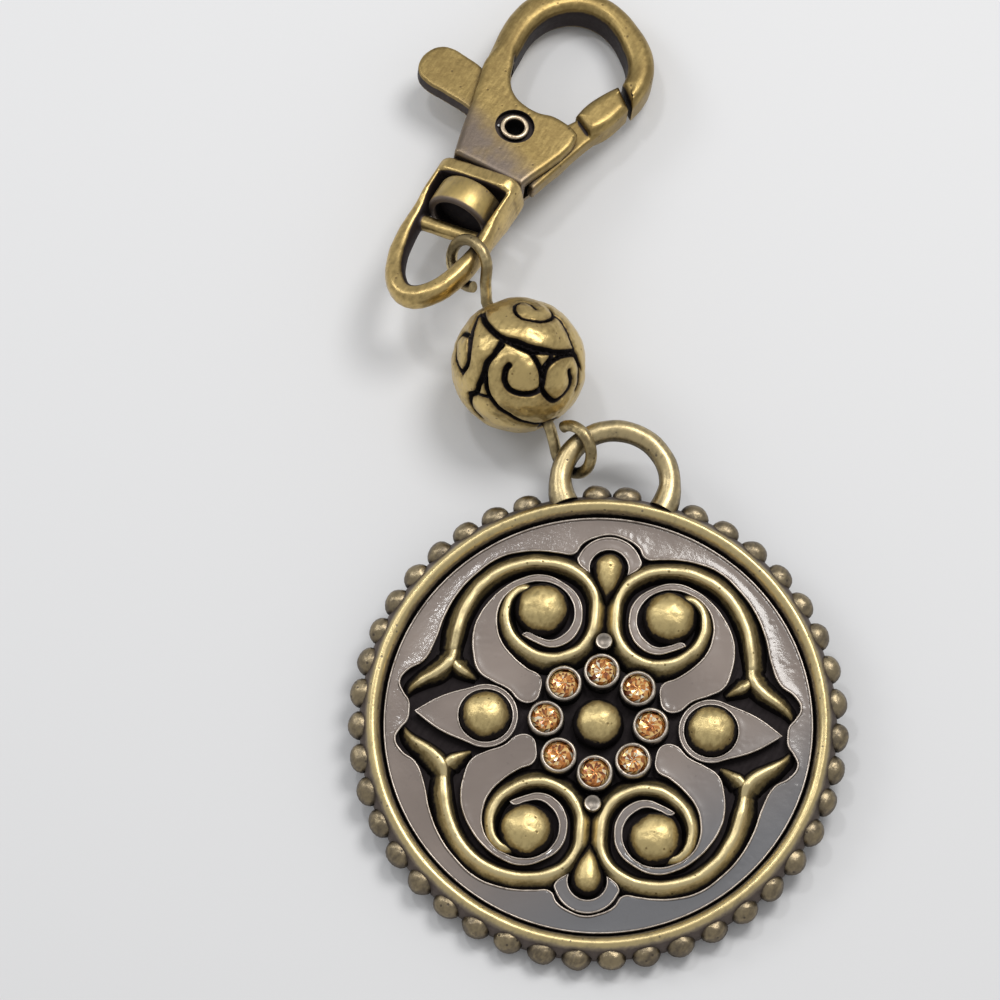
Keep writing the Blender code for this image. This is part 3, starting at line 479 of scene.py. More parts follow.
hoop_points = []
hoop_radii = []
for step in range(HOOP_STEPS + 1):
    angle = -HOOP_DIP + (pi + 2 * HOOP_DIP) * step / HOOP_STEPS
    hoop_points.append((HOOP_R * cos(angle), HOOP_Y + HOOP_R * sin(angle), HOOP_Z))
    hoop_radii.append(HOOP_WIRE_R + HOOP_FLARE * max(0, -sin(angle)) ** 0.8)
hoop = wire("hoop", hoop_points, hoop_radii)
uneven(hoop, 1.6, 0.06)
hoop_brass = brass_material(
    "hoop_brass", by_height(1.6, 3.15, 0.20, 0.90), crest=(0.54, 0.435, 0.24, 1),
    field=(0.22, 0.18, 0.115, 1),
)
seated(hoop, medallion_place, "medallion", "medallion_brass", hoop_brass)

# Four mirrored scrolls stand on the floor, cast with the plate. Each is a rib with steep dark flanks and a
# bright narrow crest. It forks into two tails at the side and winds in to the dome that fills its eye.
ORNAMENT_R = 20.0
SCROLL_SHARES = (
    (0.747, 0.268, 0.45), (0.742, 0.330, 0.86), (0.731, 0.415, 0.98), (0.690, 0.560, 0.98),
    (0.590, 0.703, 0.98), (0.450, 0.785, 0.97), (0.300, 0.803, 0.95), (0.162, 0.766, 0.94),
    (0.075, 0.680, 0.92), (0.052, 0.560, 0.92), (0.080, 0.425, 0.92), (0.170, 0.342, 0.92),
    (0.300, 0.322, 0.91), (0.410, 0.372, 0.89), (0.480, 0.460, 0.87), (0.492, 0.560, 0.84),
    (0.462, 0.632, 0.80), (0.405, 0.662, 0.78), (0.350, 0.622, 0.68),
)
OUTER_TAIL_SHARES = (
    (0.732, 0.385, 0.45), (0.739, 0.325, 0.80), (0.752, 0.268, 0.98), (0.805, 0.210, 0.95),
    (0.882, 0.160, 0.78), (0.936, 0.118, 0.56), (0.962, 0.082, 0.34),
)
INNER_TAIL_SHARES = (
    (0.741, 0.300, 0.58), (0.737, 0.262, 0.80), (0.707, 0.231, 0.82), (0.664, 0.208, 0.62),
    (0.620, 0.186, 0.36),
)
RIB_LINES = (
    ("scroll", SCROLL_SHARES, -1),
    ("outer_tail", OUTER_TAIL_SHARES, 1),
    ("inner_tail", INNER_TAIL_SHARES, -1),
)
RIB_HALF_W = 1.3
RIB_RISE = 1.72
RIB_SECTION_SHARES = (
    (-1.35, -0.10), (-1.24, 0.14), (-0.90, 0.38), (-0.58, 0.64), (-0.34, 0.89), (-0.18, 0.99), (0.16, 0.99),
    (0.29, 0.90), (0.40, 0.66), (0.56, 0.36), (0.78, 0.10), (0.88, -0.10),
)
QUARTERS = (("tr", 1, 1), ("tl", -1, 1), ("bl", -1, -1), ("br", 1, -1))


def section_guide(turned):
    """The rib's section, with its long slope on the outer side of the scroll."""
    curve = bpy.data.curves.new("rib_section", "CURVE")
    spline = curve.splines.new("POLY")
    spline.points.add(len(RIB_SECTION_SHARES) - 1)
    shares = RIB_SECTION_SHARES
    if turned < 0:
        shares = [(-across, up) for across, up in reversed(shares)]
    for knot, (across, up) in zip(spline.points, shares):
        knot.co = (RIB_HALF_W * across, RIB_RISE * up, 0, 1)
    spline.use_cyclic_u = True
    guide = bpy.data.objects.new("rib_section", curve)
    bpy.context.scene.collection.objects.link(guide)
    return guide


guides = {turned: section_guide(turned) for turned in (1, -1)}


def rib(name, points, radii, turned):
    """A rib of the section above along points on the floor."""
    curve = bpy.data.curves.new(name, "CURVE")
    curve.dimensions = "2D"
    curve.fill_mode = "NONE"
    curve.bevel_mode = "OBJECT"
    curve.bevel_object = guides[turned]
    curve.resolution_u = 8
    curve.use_fill_caps = True
    spline = curve.splines.new("BEZIER")
    spline.bezier_points.add(len(points) - 1)
    for knot, point, radius in zip(spline.bezier_points, points, radii):
        knot.co = (*point, 0)
        knot.radius = radius
        knot.handle_left_type = "AUTO"
        knot.handle_right_type = "AUTO"
    piece = from_curve(name, curve)
    piece.data.transform(Matrix.Translation((0, 0, FLOOR_Z)))
    return piece


ribs = []
for quarter, side, end in QUARTERS:
    for line, shares, turned in RIB_LINES:
        path = [(side * ORNAMENT_R * x, end * ORNAMENT_R * y) for x, y, _ in shares]
        ribs.append(rib(f"{line}_{quarter}", path, [swell for _, _, swell in shares], turned * side * end))
scrolls = uneven(joined("scrolls", ribs), 1.5, 0.07)
scroll_brass = brass_material(
    "scroll_brass", by_height(1.3, 2.9, -0.05, 1.08), crest=(0.70, 0.58, 0.32, 1),
    field=(0.28, 0.215, 0.10, 1), polish=-0.05, relief=0.08,
)
seated(scrolls, medallion_place, "medallion", "medallion_brass", scroll_brass)
for guide in guides.values():
    bpy.data.objects.remove(guide)

# Seven domes are hammered and rubbed nearly bright: one in each scroll, one in each leaf and one in the
# middle. Two teardrops point to the middle from the top and the bottom. All are cast with the plate.
DOME_R = 2.55
SCROLL_DOME_R = 2.74
LEAF_DOME_R = 2.62
DOME_RISE_SHARE = 0.745
DOME_Z = 1.85
DENT_SHARE = 0.045
DENT_W = 0.95
NICK_SHARE = 0.4
NICK_W = 0.4
DOME_SHARES = (0.318, 0.566)
LEAF_DOME_X = 11.2
DROP_HEAD_Y = 16.0
DROP_HEAD_R = 1.6
DROP_TAIL_SHARE = 2.35
DROP_TAPER_SHARE = 0.85
DROP_RISE_SHARE = 0.42


def dome(name, place, seed, radius=DOME_R):
    """A low dome with hammer dents and finer nicks."""
    bpy.ops.object.select_all(action="DESELECT")
    bpy.ops.mesh.primitive_uv_sphere_add(segments=48, ring_count=24, radius=radius)
    piece = bpy.context.object
    piece.name = name
    for vertex in piece.data.vertices:
        dent = noise.noise(vertex.co / DENT_W + Vector((seed, 0, 0)))
        nick = noise.noise(vertex.co / NICK_W + Vector((0, seed, 0)))
        vertex.co *= 1 + DENT_SHARE * (dent + NICK_SHARE * nick)
        vertex.co.z *= DOME_RISE_SHARE
    piece.data.transform(Matrix.Translation((*place, DOME_Z)))
    return piece


domes = [dome("dome_middle", (0, 0), 1.3)]
for number, (quarter, side, end) in enumerate(QUARTERS):
    place = (side * ORNAMENT_R * DOME_SHARES[0], end * ORNAMENT_R * DOME_SHARES[1])
    domes.append(dome(f"dome_{quarter}", place, 4.1 + number, SCROLL_DOME_R))
for side in (-1, 1):
    domes.append(dome(f"dome_leaf_{side}", (side * LEAF_DOME_X, 0), 9.7 + side, LEAF_DOME_R))
for end in (-1, 1):
    drop = dome(f"drop_{end}", (0, 0), 14.2 + end, DROP_HEAD_R)
    for vertex in drop.data.vertices:
        tail = max(0, -vertex.co.y / DROP_HEAD_R)
        vertex.co.x *= 1 - DROP_TAPER_SHARE * tail * tail
        vertex.co.y *= DROP_TAIL_SHARE if tail else 1
        vertex.co.z += DROP_RISE_SHARE * (vertex.co.z - DOME_Z)
    turned = Matrix.Rotation(0 if end > 0 else pi, 4, "Z")
    drop.data.transform(Matrix.Translation((0, end * DROP_HEAD_Y, 0)) @ turned)
    domes.append(drop)
# The height mask rubs the domes' tops bright, and its dark lower sides are painted shade.
dome_brass = brass_material(
    "dome_brass", by_height(2.25, 3.65, -0.32, 1.02), crest=(0.66, 0.525, 0.25, 1),
    field=(0.31, 0.23, 0.10, 1), polish=-0.06, relief=0.12,
)
seated(joined("domes", domes), medallion_place, "medallion", "medallion_brass", dome_brass)

# Each fill of grey enamel sits in a cell with a thin cast wall, whose top shows as a pale line. The glassy
# top is a little uneven and rounds down to its wall. The outlines are those of the fills in the frame.
ENAMEL_NODES = sorted(name for name in frame["nodes"] if name.startswith("enamel_"))
ENAMEL_FOOT = 1.5
ENAMEL_TOP = 2.1
TOP_SLACK = 0.2
CORNER = radians(75)
LONG_SIDE = 4.0
BULGE_SHARE = 0.055
FILL_GRAIN = 0.17
EDGE_CLIMB = 0.11
CLIMB_W = 0.35
FIELD_FALL = 0.06
FIELD_FALL_R = 18.4
CREASE_REACH = 3.1
CREASE_W = 0.40
CREASE_DEPTH = 0.045
SWELL_W = 1.1
SWELL_DEPTH = 0.012
SWELL_GAP = 0.3
WALL_R = 0.11
WALL_Z = 2.12


def outlines_of(node):
    """The closed outlines of a fill's top face, as lists of (x, y) in the medallion's frame."""
    shape = bmesh.new()
    shape.from_mesh(frame["nodes"][node].data)
    shape.transform(medallion_place.inverted())
    bmesh.ops.remove_doubles(shape, verts=shape.verts, dist=1e-3)
    top = [face for face in shape.faces if face.normal.z > 0.9]
    border = [
        edge for edge in shape.edges if sum(face in top for face in edge.link_faces) == 1
        and min(vert.co.z for vert in edge.verts) > ENAMEL_TOP - TOP_SLACK
    ]
    steps = {}
    for edge in border:
        for vert in edge.verts:
            steps.setdefault(vert, []).append(edge.other_vert(vert))
    loops = []
    while steps:
        start = next(iter(steps))
        loop = [start]
        while True:
            onward = [vert for vert in steps[loop[-1]] if vert not in loop]
            if not onward:
                break
            loop.append(onward[0])
        for vert in loop:
            del steps[vert]
        loops.append(bulged([(vert.co.x, vert.co.y) for vert in loop]))
    shape.free()
    return loops


def bulged(loop):
    """The outline with a point added on each long straight side, moved out so that the side swells."""
    middle = sum((Vector(point) for point in loop), Vector((0, 0))) / len(loop)
    found = []
    for first, last in zip(loop, loop[1:] + loop[:1]):
        found.append(first)
        side = Vector(last) - Vector(first)
        if side.length > LONG_SIDE:
            half = (Vector(first) + Vector(last)) / 2
            out = Vector((side.y, -side.x))
            out = out if out.dot(half - middle) > 0 else -out
            found.append(tuple(half + BULGE_SHARE * out))
    return found


def smooth_spline(curve, loop):
    """Adds a closed outline to a curve, smooth but for its sharp corners."""
    spline = curve.splines.new("BEZIER")
    spline.bezier_points.add(len(loop) - 1)
    for knot, point in zip(spline.bezier_points, loop):
        knot.co = (*point, 0)
    count = len(loop)
    for number, knot in enumerate(spline.bezier_points):
        before = Vector(loop[number]) - Vector(loop[number - 1])
        after = Vector(loop[(number + 1) % count]) - Vector(loop[number])
        kind = "VECTOR" if before.angle(after) > CORNER else "AUTO"
        knot.handle_left_type = kind
        knot.handle_right_type = kind
    spline.use_cyclic_u = True


def with_modifier(piece, kind, **settings):
    """Adds a modifier with its settings and applies it."""
    alone(piece)
    modifier = piece.modifiers.new(kind.lower(), kind)
    for key, value in settings.items():
        setattr(modifier, key, value)
    bpy.ops.object.modifier_apply(modifier=modifier.name)
    return piece


def border_of(loops):
    """A search tree of points along the outlines, at every grain of the fill."""
    border = []
    for loop in loops:
        for (x, y), (far_x, far_y) in zip(loop, loop[1:] + loop[:1]):
            count = max(1, int(hypot(far_x - x, far_y - y) / FILL_GRAIN))
            for step in range(count):
                border.append((x + (far_x - x) * step / count, y + (far_y - y) * step / count, 0))
    border_tree = KDTree(len(border))
    for number, point in enumerate(border):
        border_tree.insert(point, number)
    border_tree.balance()
    return border_tree


def enamel_fill(name, loops):
    """A fill whose top climbs to its wall, swells and creases a little, and falls towards the rim."""
    curve = bpy.data.curves.new(name, "CURVE")
    curve.dimensions = "2D"
    curve.fill_mode = "BOTH"
    curve.extrude = (ENAMEL_TOP - ENAMEL_FOOT) / 2
    curve.resolution_u = 5
    for loop in loops:
        smooth_spline(curve, loop)
    fill = from_curve(name, curve)
    fill.data.transform(Matrix.Translation((0, 0, (ENAMEL_TOP + ENAMEL_FOOT) / 2)))
    with_modifier(fill, "REMESH", mode="VOXEL", voxel_size=FILL_GRAIN)
    with_modifier(fill, "SMOOTH", factor=0.5, iterations=2)
    border_tree = border_of(loops)
    for vertex in fill.data.vertices:
        if vertex.co.z > ENAMEL_TOP - TOP_SLACK / 2:
            flat = Vector((vertex.co.x, vertex.co.y, 0))
            gap = border_tree.find(flat)[2]
            creased = max(0.0, noise.noise(flat / CREASE_REACH + Vector((4.7, 0, 0))) + 0.15)
            wrinkle = CREASE_DEPTH * creased * noise.noise(flat / CREASE_W)
            wrinkle += SWELL_DEPTH * noise.noise(flat / SWELL_W)
            climb = EDGE_CLIMB * exp(-gap / CLIMB_W)
            fall = FIELD_FALL * max(0.0, flat.length - FIELD_FALL_R)
            vertex.co.z += climb + wrinkle * min(1, gap / SWELL_GAP) - fall
    return fill


def cell_wall(name, loops):
    """The thin wall round a fill, a wire along its outlines."""
    curve = bpy.data.curves.new(name, "CURVE")
    curve.dimensions = "3D"
    curve.bevel_depth = WALL_R
    curve.bevel_resolution = 2
    curve.resolution_u = 5
    for loop in loops:
        smooth_spline(curve, loop)
    wall = from_curve(name, curve)
    wall.data.transform(Matrix.Translation((0, 0, WALL_Z)))
    return wall


def enamel_material():
    """Glassy taupe enamel, with a painted dark, cool reflection at the lower right, and finely creased at the
    upper left.
    """
    material = bpy.data.materials.new("grey_enamel")
    material.use_nodes = True
    tree = material.node_tree
    shader = tree.nodes["Principled BSDF"]
    coords = object_coords(tree)
    spot = node_in(tree, "ShaderNodeSeparateXYZ", {0: coords}).outputs
    cloud = grain(tree, coords, 90.0, 3.0)
    speck = grain(tree, coords, 1800.0, 4.0, 0.6)
    ripple = grain(tree, coords, 420.0, 5.0, 0.66)
    crinkle = grain(tree, coords, 2600.0, 3.0, 0.6)
    patch = grain(tree, coords, 130.0, 1.0)
    cool_reflection_side = reckoned(tree, "SUBTRACT", times(tree, spot["X"], 0.6), spot["Y"])
    warm = blended(tree, ramp(tree, cloud, 0.35, 0.68), (0.215, 0.174, 0.152, 1), (0.290, 0.236, 0.205, 1))
    # Painted reflection: the lower right is darker and cooler, as the glossy top mirrors a dim side of the room
    # there.
    colour = blended(tree, ramp(tree, cool_reflection_side, 0.004, 0.022), warm, (0.150, 0.152, 0.165, 1))
    colour = blended(tree, ramp(tree, speck, 0.62, 0.75, 0.0, 0.25), colour, (0.10, 0.085, 0.08, 1))
    upper_left = added(tree, times(tree, spot["X"], -8.0), times(tree, spot["Y"], 8.0))
    creased = ramp(tree, added(tree, patch, upper_left), 0.52, 0.76, 0.35, 1.0)
    outer = ramp(tree, own_radius(tree, medallion_place), 14.5, 16.5, 0.1, 1.0)
    folds = times(tree, crinkle, times(tree, creased, outer))
    height = added(tree, times(tree, ripple, 0.15), folds)
    bump = node_in(tree, "ShaderNodeBump", {"Height": height, "Strength": 1.0, "Distance": 0.04 * MM})
    tree.links.new(colour, shader.inputs["Base Color"])
    tree.links.new(ramp(tree, cloud, 0.3, 0.8, 0.16, 0.28), shader.inputs["Roughness"])
    tree.links.new(bump.outputs["Normal"], shader.inputs["Normal"])
    tree.links.new(bump.outputs["Normal"], shader.inputs["Coat Normal"])
    shader.inputs["Specular IOR Level"].default_value = 0.6
    shader.inputs["Coat Weight"].default_value = 0.6
    shader.inputs["Coat Roughness"].default_value = 0.04
    return material


grey_enamel = enamel_material()
wall_metal = brass_material(
    "wall_metal", by_height(1.95, 2.22, 0.10, 0.86), crest=(0.62, 0.55, 0.49, 1), field=(0.25, 0.21, 0.18, 1),
    hollow=(0.04, 0.035, 0.032, 1), relief=0.04, reach=0.25,
)
walls = []
for node in ENAMEL_NODES:
    loops = outlines_of(node)
    fill = enamel_fill(f"{node}_glass", loops)
    seated(fill, medallion_place, "medallion", "grey_enamel", grey_enamel, node)
    walls.append(cell_wall(f"{node}_wall", loops))
seated(joined("cell_walls", walls), medallion_place, "medallion", "medallion_brass", wall_metal)

# Eight amber stones ring the middle dome. Each is a cut glass stone with a foiled back in a small grey
# cup, whose lip is pressed over its girdle. A flat dot stands above the ring and another below it.
STONES = 8
STONE_RING_R = 5.2
CUP_LIP = (
    (1.40, 2.35), (1.42, 2.82), (1.50, 2.98), (1.62, 3.02), (1.74, 2.96), (1.82, 2.80), (1.86, 2.2),
    (1.90, 1.1), (1.40, 1.1),
)
GIRDLE_R = 1.46
GIRDLE_Z = 2.62
CROWN_R = 1.12
CROWN_Z = 2.98
TABLE_R = 0.78
TABLE_Z = 3.12
TABLE_DIP = 0.10
STAR_R = 0.3276
STAR_DIP = 0.02
STAR_RAY = 0.09
CULET_Z = 1.55
FACETS = 16
STONE_TILT = 0.09
DOT_Y = 8.3
DOT_PROFILE = ((0, 2.72), (0.45, 2.78), (0.62, 2.92), (0.76, 2.94), (0.85, 2.8), (0.90, 1.1), (0, 1.1))


def ring_points(radius, height, turn=0.0):
    """Points round a stone, one to a facet."""
    bearings = [turn + 2 * pi * step / FACETS for step in range(FACETS)]
    return [(radius * cos(bearing), radius * sin(bearing), height) for bearing in bearings]


def cut_stone():
    """A round brilliant: an eight-rayed table, a crown of kites and triangles, and a pointed back."""
    star = ring_points(STAR_R, TABLE_Z - STAR_DIP)
    star = [(x, y, z - STAR_RAY * (number % 2)) for number, (x, y, z) in enumerate(star)]
    rows = [
        star, ring_points(TABLE_R, TABLE_Z), ring_points(CROWN_R, CROWN_Z, pi / FACETS),
        ring_points(GIRDLE_R, GIRDLE_Z),
    ]
    points = [(0, 0, TABLE_Z - TABLE_DIP)] + [point for row in rows for point in row] + [(0, 0, CULET_Z)]
    faces = [(0, 1 + step, 1 + (step + 1) % FACETS) for step in range(FACETS)]
    for row in range(len(rows) - 1):
        for step in range(FACETS):
            near = 1 + row * FACETS + step
            far = 1 + row * FACETS + (step + 1) % FACETS
            faces += [(near, near + FACETS, far), (far, near + FACETS, far + FACETS)]
    last = 1 + (len(rows) - 1) * FACETS
    faces += [(last + step, len(points) - 1, last + (step + 1) % FACETS) for step in range(FACETS)]
    return made_solid(mesh_piece("amber", points, faces=faces))


def copied(piece, name, place):
    """A copy of a pattern piece with its own mesh, moved to its place."""
    copy = piece.copy()
    copy.data = piece.data.copy()
    copy.name = name
    copy.data.transform(place)
    bpy.context.scene.collection.objects.link(copy)
    return copy


def with_painted_fire(stone, seed):
    """Gives each facet its own share of painted fire: a random brightness standing in for the light that the foil
    throws back.
    """
    painted_fire = stone.data.attributes.new("painted_fire", "FLOAT", "FACE")
    luck = Random(seed)
    for facet in stone.data.polygons:
        painted_fire.data[facet.index].value = luck.random() ** (0.8 if facet.index % 2 else 1.5)
    return stone


def amber_material():
    """Amber cut glass on foil: each facet is painted red-brown, amber or a bright gold flash, a painted reflection
    of the foil.
    """
    material = bpy.data.materials.new("amber_glass")
    material.use_nodes = True
    tree = material.node_tree
    shader = tree.nodes["Principled BSDF"]
    tint = grain(tree, object_coords(tree), 900.0, 3.0)
    painted_fire = node_in(tree, "ShaderNodeAttribute", attribute_name="painted_fire").outputs["Fac"]
    painted_flash = added(tree, painted_fire, times(tree, reckoned(tree, "SUBTRACT", tint, 0.5), 0.9))
    # Painted reflection: the more painted fire a facet has, the nearer its colour runs to the foil's gold and pale
    # gold flash.
    colour = blended(tree, ramp(tree, painted_flash, 0.05, 0.40), (0.20, 0.045, 0.008, 1), (0.70, 0.25, 0.045, 1))
    colour = blended(tree, ramp(tree, painted_flash, 0.42, 0.80), colour, (1.0, 0.66, 0.25, 1))
    colour = blended(tree, ramp(tree, painted_flash, 0.88, 1.0), colour, (1.0, 0.93, 0.72, 1))
    tree.links.new(colour, shader.inputs["Base Color"])
    tree.links.new(ramp(tree, tint, 0.3, 0.7, 0.10, 0.20), shader.inputs["Roughness"])
    shader.inputs["Metallic"].default_value = 0.55
    shader.inputs["Coat Weight"].default_value = 1.0
    shader.inputs["Coat Roughness"].default_value = 0.03
    return material


amber_glass = amber_material()
cup_metal = brass_material(
    "cup_metal", by_height(2.3, 3.0, 0.05, 0.82), crest=(0.56, 0.50, 0.43, 1), field=(0.25, 0.22, 0.19, 1),
    reach=0.5,
)
stone_pattern = cut_stone()
cup_pattern = uneven(spun("cup", CUP_LIP, 40, closed=True), 0.8, 0.05)
dot_pattern = spun("dot", DOT_PROFILE, 28)
cups = []
for number in range(STONES):
    bearing = pi / 2 - 2 * pi * number / STONES
    spot = Matrix.Translation((STONE_RING_R * cos(bearing), STONE_RING_R * sin(bearing), 0))
    tilt = Matrix.Rotation(STONE_TILT * sin(2.3 * number + 0.7), 4, "X")
    tilt = tilt @ Matrix.Rotation(0.5 * number, 4, "Z")
    middle = Matrix.Translation((0, 0, GIRDLE_Z))
    stone = copied(stone_pattern, f"amber_{number + 1}", spot @ middle @ tilt @ middle.inverted())
    with_painted_fire(stone, number + 5)
    seated(stone, medallion_place, "medallion", "amber_stone", amber_glass, f"stone_{number + 1}")
    stone.data.shade_flat()
    cups.append(copied(cup_pattern, f"cup_{number + 1}", spot))
for end in (-1, 1):
    cups.append(copied(dot_pattern, f"dot_{end}", Matrix.Translation((0, end * DOT_Y, 0))))
seated(joined("stone_cups", cups), medallion_place, "medallion", "medallion_brass", cup_metal)
for pattern in (stone_pattern, cup_pattern, dot_pattern):
    bpy.data.objects.remove(pattern)

# The eye pin is one length of drawn brass wire. It passes through the bead and is bent into an open eye at
# each end, the upper round the swivel's bow and the lower round the hoop.
PIN_R = 0.59
EYE_R = 2.45
BEAD_R = 6.7
TOP_NECK = 4.9
TOP_EYE_SHIFT = 0.25
LOW_NECK = 3.6
LOW_EYE_SHIFT = 1.6
EYE_SWEEP = radians(284)
EYE_STEPS = 36
joints = {joint["name"]: joint for joint in frame["joints"]}


def frame_of(origin, across, along, up):
    """A piece's own frame in millimetres, from its origin and its three directions."""
    place = Matrix((across, along, up)).transposed().to_4x4() @ Matrix.Scale(MM, 4)
    place.translation = origin
    return place


pin_along = Vector(joints["bead_spin"]["axis"]).normalized()
pin_up = Vector(joints["pin_swing"]["axis"]).normalized()
pin_across = pin_along.cross(pin_up).normalized()
link = Vector(joints["pin_swing"]["pos_m"])
pin_origin = link + MM * ((BEAD_R + LOW_NECK) * pin_along - LOW_EYE_SHIFT * pin_across)
pin_place = frame_of(pin_origin, pin_across, pin_along, pin_up)


def eye(anchor, centre):
    """Points from the neck's end round an eye, anticlockwise, in the pin's plane."""
    away = Vector(anchor) - Vector(centre)
    touch = atan2(away.y, away.x) + acos(EYE_R / away.length)
    bearings = [touch + EYE_SWEEP * step / EYE_STEPS for step in range(EYE_STEPS + 1)]
    return [(centre[0] + EYE_R * cos(bearing), centre[1] + EYE_R * sin(bearing), 0) for bearing in bearings]


def rubbed(least, most):
    """A wear mask in soft patches, for pieces that rub all over."""
    return lambda tree: ramp(tree, grain(tree, object_coords(tree), 500.0, 2.0), 0.3, 0.7, least, most)


top_neck = (0, BEAD_R + PIN_R)
low_neck = (0, -BEAD_R - PIN_R)
pin_points = list(reversed(eye(top_neck, (TOP_EYE_SHIFT, BEAD_R + TOP_NECK))))
pin_points += [(*top_neck, 0), (0, BEAD_R / 2, 0), (0, -BEAD_R / 2, 0), (*low_neck, 0)]
pin_points += eye(low_neck, (LOW_EYE_SHIFT, -BEAD_R - LOW_NECK))
pin = wire("pin", pin_points, [PIN_R] * len(pin_points), steps=2)
wire_brass = brass_material(
    "wire_brass", rubbed(0.45, 0.85), crest=(0.66, 0.53, 0.28, 1), field=(0.27, 0.21, 0.11, 1), polish=0.05,
    reach=0.8,
)
seated(pin, pin_place, "eye_pin", "wire_brass", wire_brass, "eye_pin")

# The bead is cast hollow brass, carved with broad comma-shaped scrolls that repeat on its far side. The
# grooves between them are left black and the crests are rubbed bright.
bead_centre = Vector(joints["bead_spin"]["pos_m"])
GROOVE_DEPTH = 0.62
GROOVE_SPREAD_SHARE = 1.8
GROOVE_REACH_SHARE = 0.12
FULL_GROOVE_W = 0.19
PAD_RISE = 0.22
PAD_FOOT = -0.12
PAD_EDGE = 1.3
MOUTH_R_SHARE = 0.20
MOUTH_DEPTH_SHARE = 1.6
LUMP_RISE = 0.10
LUMP_TURNS = 4.2
DIMPLE_RISE = 0.045
DIMPLE_TURNS = 11.0
SIGHT_EDGE_SHARE = 0.985
STEP_SHARE = 0.02
# Each groove is its half width, then its points as the camera sees them in shares of the bead's radius
GROOVES = (
    (0.26, (
        (-0.552, 0.768), (-0.504, 0.624), (-0.344, 0.448), (-0.216, 0.376), (-0.024, 0.320), (0.200, 0.240),
        (0.456, 0.184), (0.648, 0.168), (0.824, 0.184),
    )),
    (0.16, ((0.536, 0.736), (0.648, 0.624), (0.744, 0.448), (0.824, 0.256), (0.880, 0.096), (0.944, -0.064))),
    (0.13, (
        (0.256, 0.824), (0.168, 0.912), (0.040, 0.936), (-0.056, 0.880), (-0.056, 0.784), (0.040, 0.688),
        (0.200, 0.648), (0.360, 0.637), (0.488, 0.680), (0.520, 0.744), (0.456, 0.848),
    )),
    (0.22, (
        (-0.600, 0.752), (-0.664, 0.608), (-0.712, 0.416), (-0.744, 0.192), (-0.776, 0.0), (-0.856, -0.128),
    )),
    (0.20, ((-0.968, 0.352), (-0.856, 0.464), (-0.760, 0.432))),
    (0.24, (
        (-0.248, 0.352), (-0.376, 0.144), (-0.488, 0.016), (-0.536, -0.144), (-0.600, -0.304),
        (-0.648, -0.432), (-0.744, -0.464),
    )),
    (0.20, (
        (-0.248, 0.272), (-0.408, 0.096), (-0.496, -0.064), (-0.496, -0.256), (-0.456, -0.464),
        (-0.344, -0.624), (-0.152, -0.768), (0.040, -0.864), (0.280, -0.904), (0.504, -0.850),
    )),
    (0.20, (
        (-0.216, 0.352), (-0.024, 0.256), (0.152, 0.176), (0.216, 0.112), (0.296, -0.032), (0.336, -0.160),
        (0.344, -0.288), (0.336, -0.384),
    )),
    (0.17, ((0.216, 0.160), (0.488, 0.144), (0.392, -0.032), (0.330, -0.110))),
    (0.18, (
        (0.824, 0.144), (0.648, 0.112), (0.504, 0.032), (0.408, -0.096), (0.376, -0.256), (0.336, -0.384),
    )),
    (0.21, (
        (0.760, -0.112), (0.784, -0.272), (0.712, -0.432), (0.536, -0.560), (0.408, -0.480), (0.336, -0.368),
    )),
    (0.25, (
        (-0.152, -0.032), (-0.208, -0.112), (-0.216, -0.272), (-0.136, -0.400), (0.024, -0.464),
        (0.200, -0.456), (0.328, -0.400),
    )),
    (0.15, ((0.824, 0.144), (0.904, -0.032), (0.900, -0.224), (0.860, -0.380))),
    (0.15, ((-0.520, -0.224), (-0.616, -0.368), (-0.632, -0.448), (-0.488, -0.496))),
    (0.20, ((-0.728, -0.480), (-0.712, -0.624), (-0.568, -0.800))),
    (0.17, (
        (-0.856, 0.448), (-0.936, 0.352), (-0.950, 0.160), (-0.920, -0.016), (-0.856, -0.112), (-0.792, 0.0),
        (-0.760, 0.192), (-0.744, 0.384),
    )),
)


def on_sphere(x, y):
    """A point of the bead seen from the camera, as a unit direction."""
    flat = min(hypot(x, y), SIGHT_EDGE_SHARE)
    scale = flat / max(hypot(x, y), 1e-9)
    seen_up = to_camera.cross(sideways)
    return (scale * x * sideways + scale * y * seen_up + sqrt(1 - flat * flat) * to_camera).normalized()


def spread(line):
    """A smooth run of directions through a groove's points."""
    knots = [on_sphere(x, y) for x, y in line]
    found = []
    for place in range(len(knots) - 1):
        before = knots[max(place - 1, 0)]
        after = knots[min(place + 2, len(knots) - 1)]
        first, last = knots[place], knots[place + 1]
        count = max(2, int((last - first).length / STEP_SHARE))
        for step in range(count):
            t = step / count
            point = 0.5 * (
                (2 * first) + (last - before) * t + (2 * before - 5 * first + 4 * last - after) * t * t
                + (3 * first - before - 3 * last + after) * t ** 3
            )
            found.append(point.normalized())
    found.append(knots[-1])
    return found


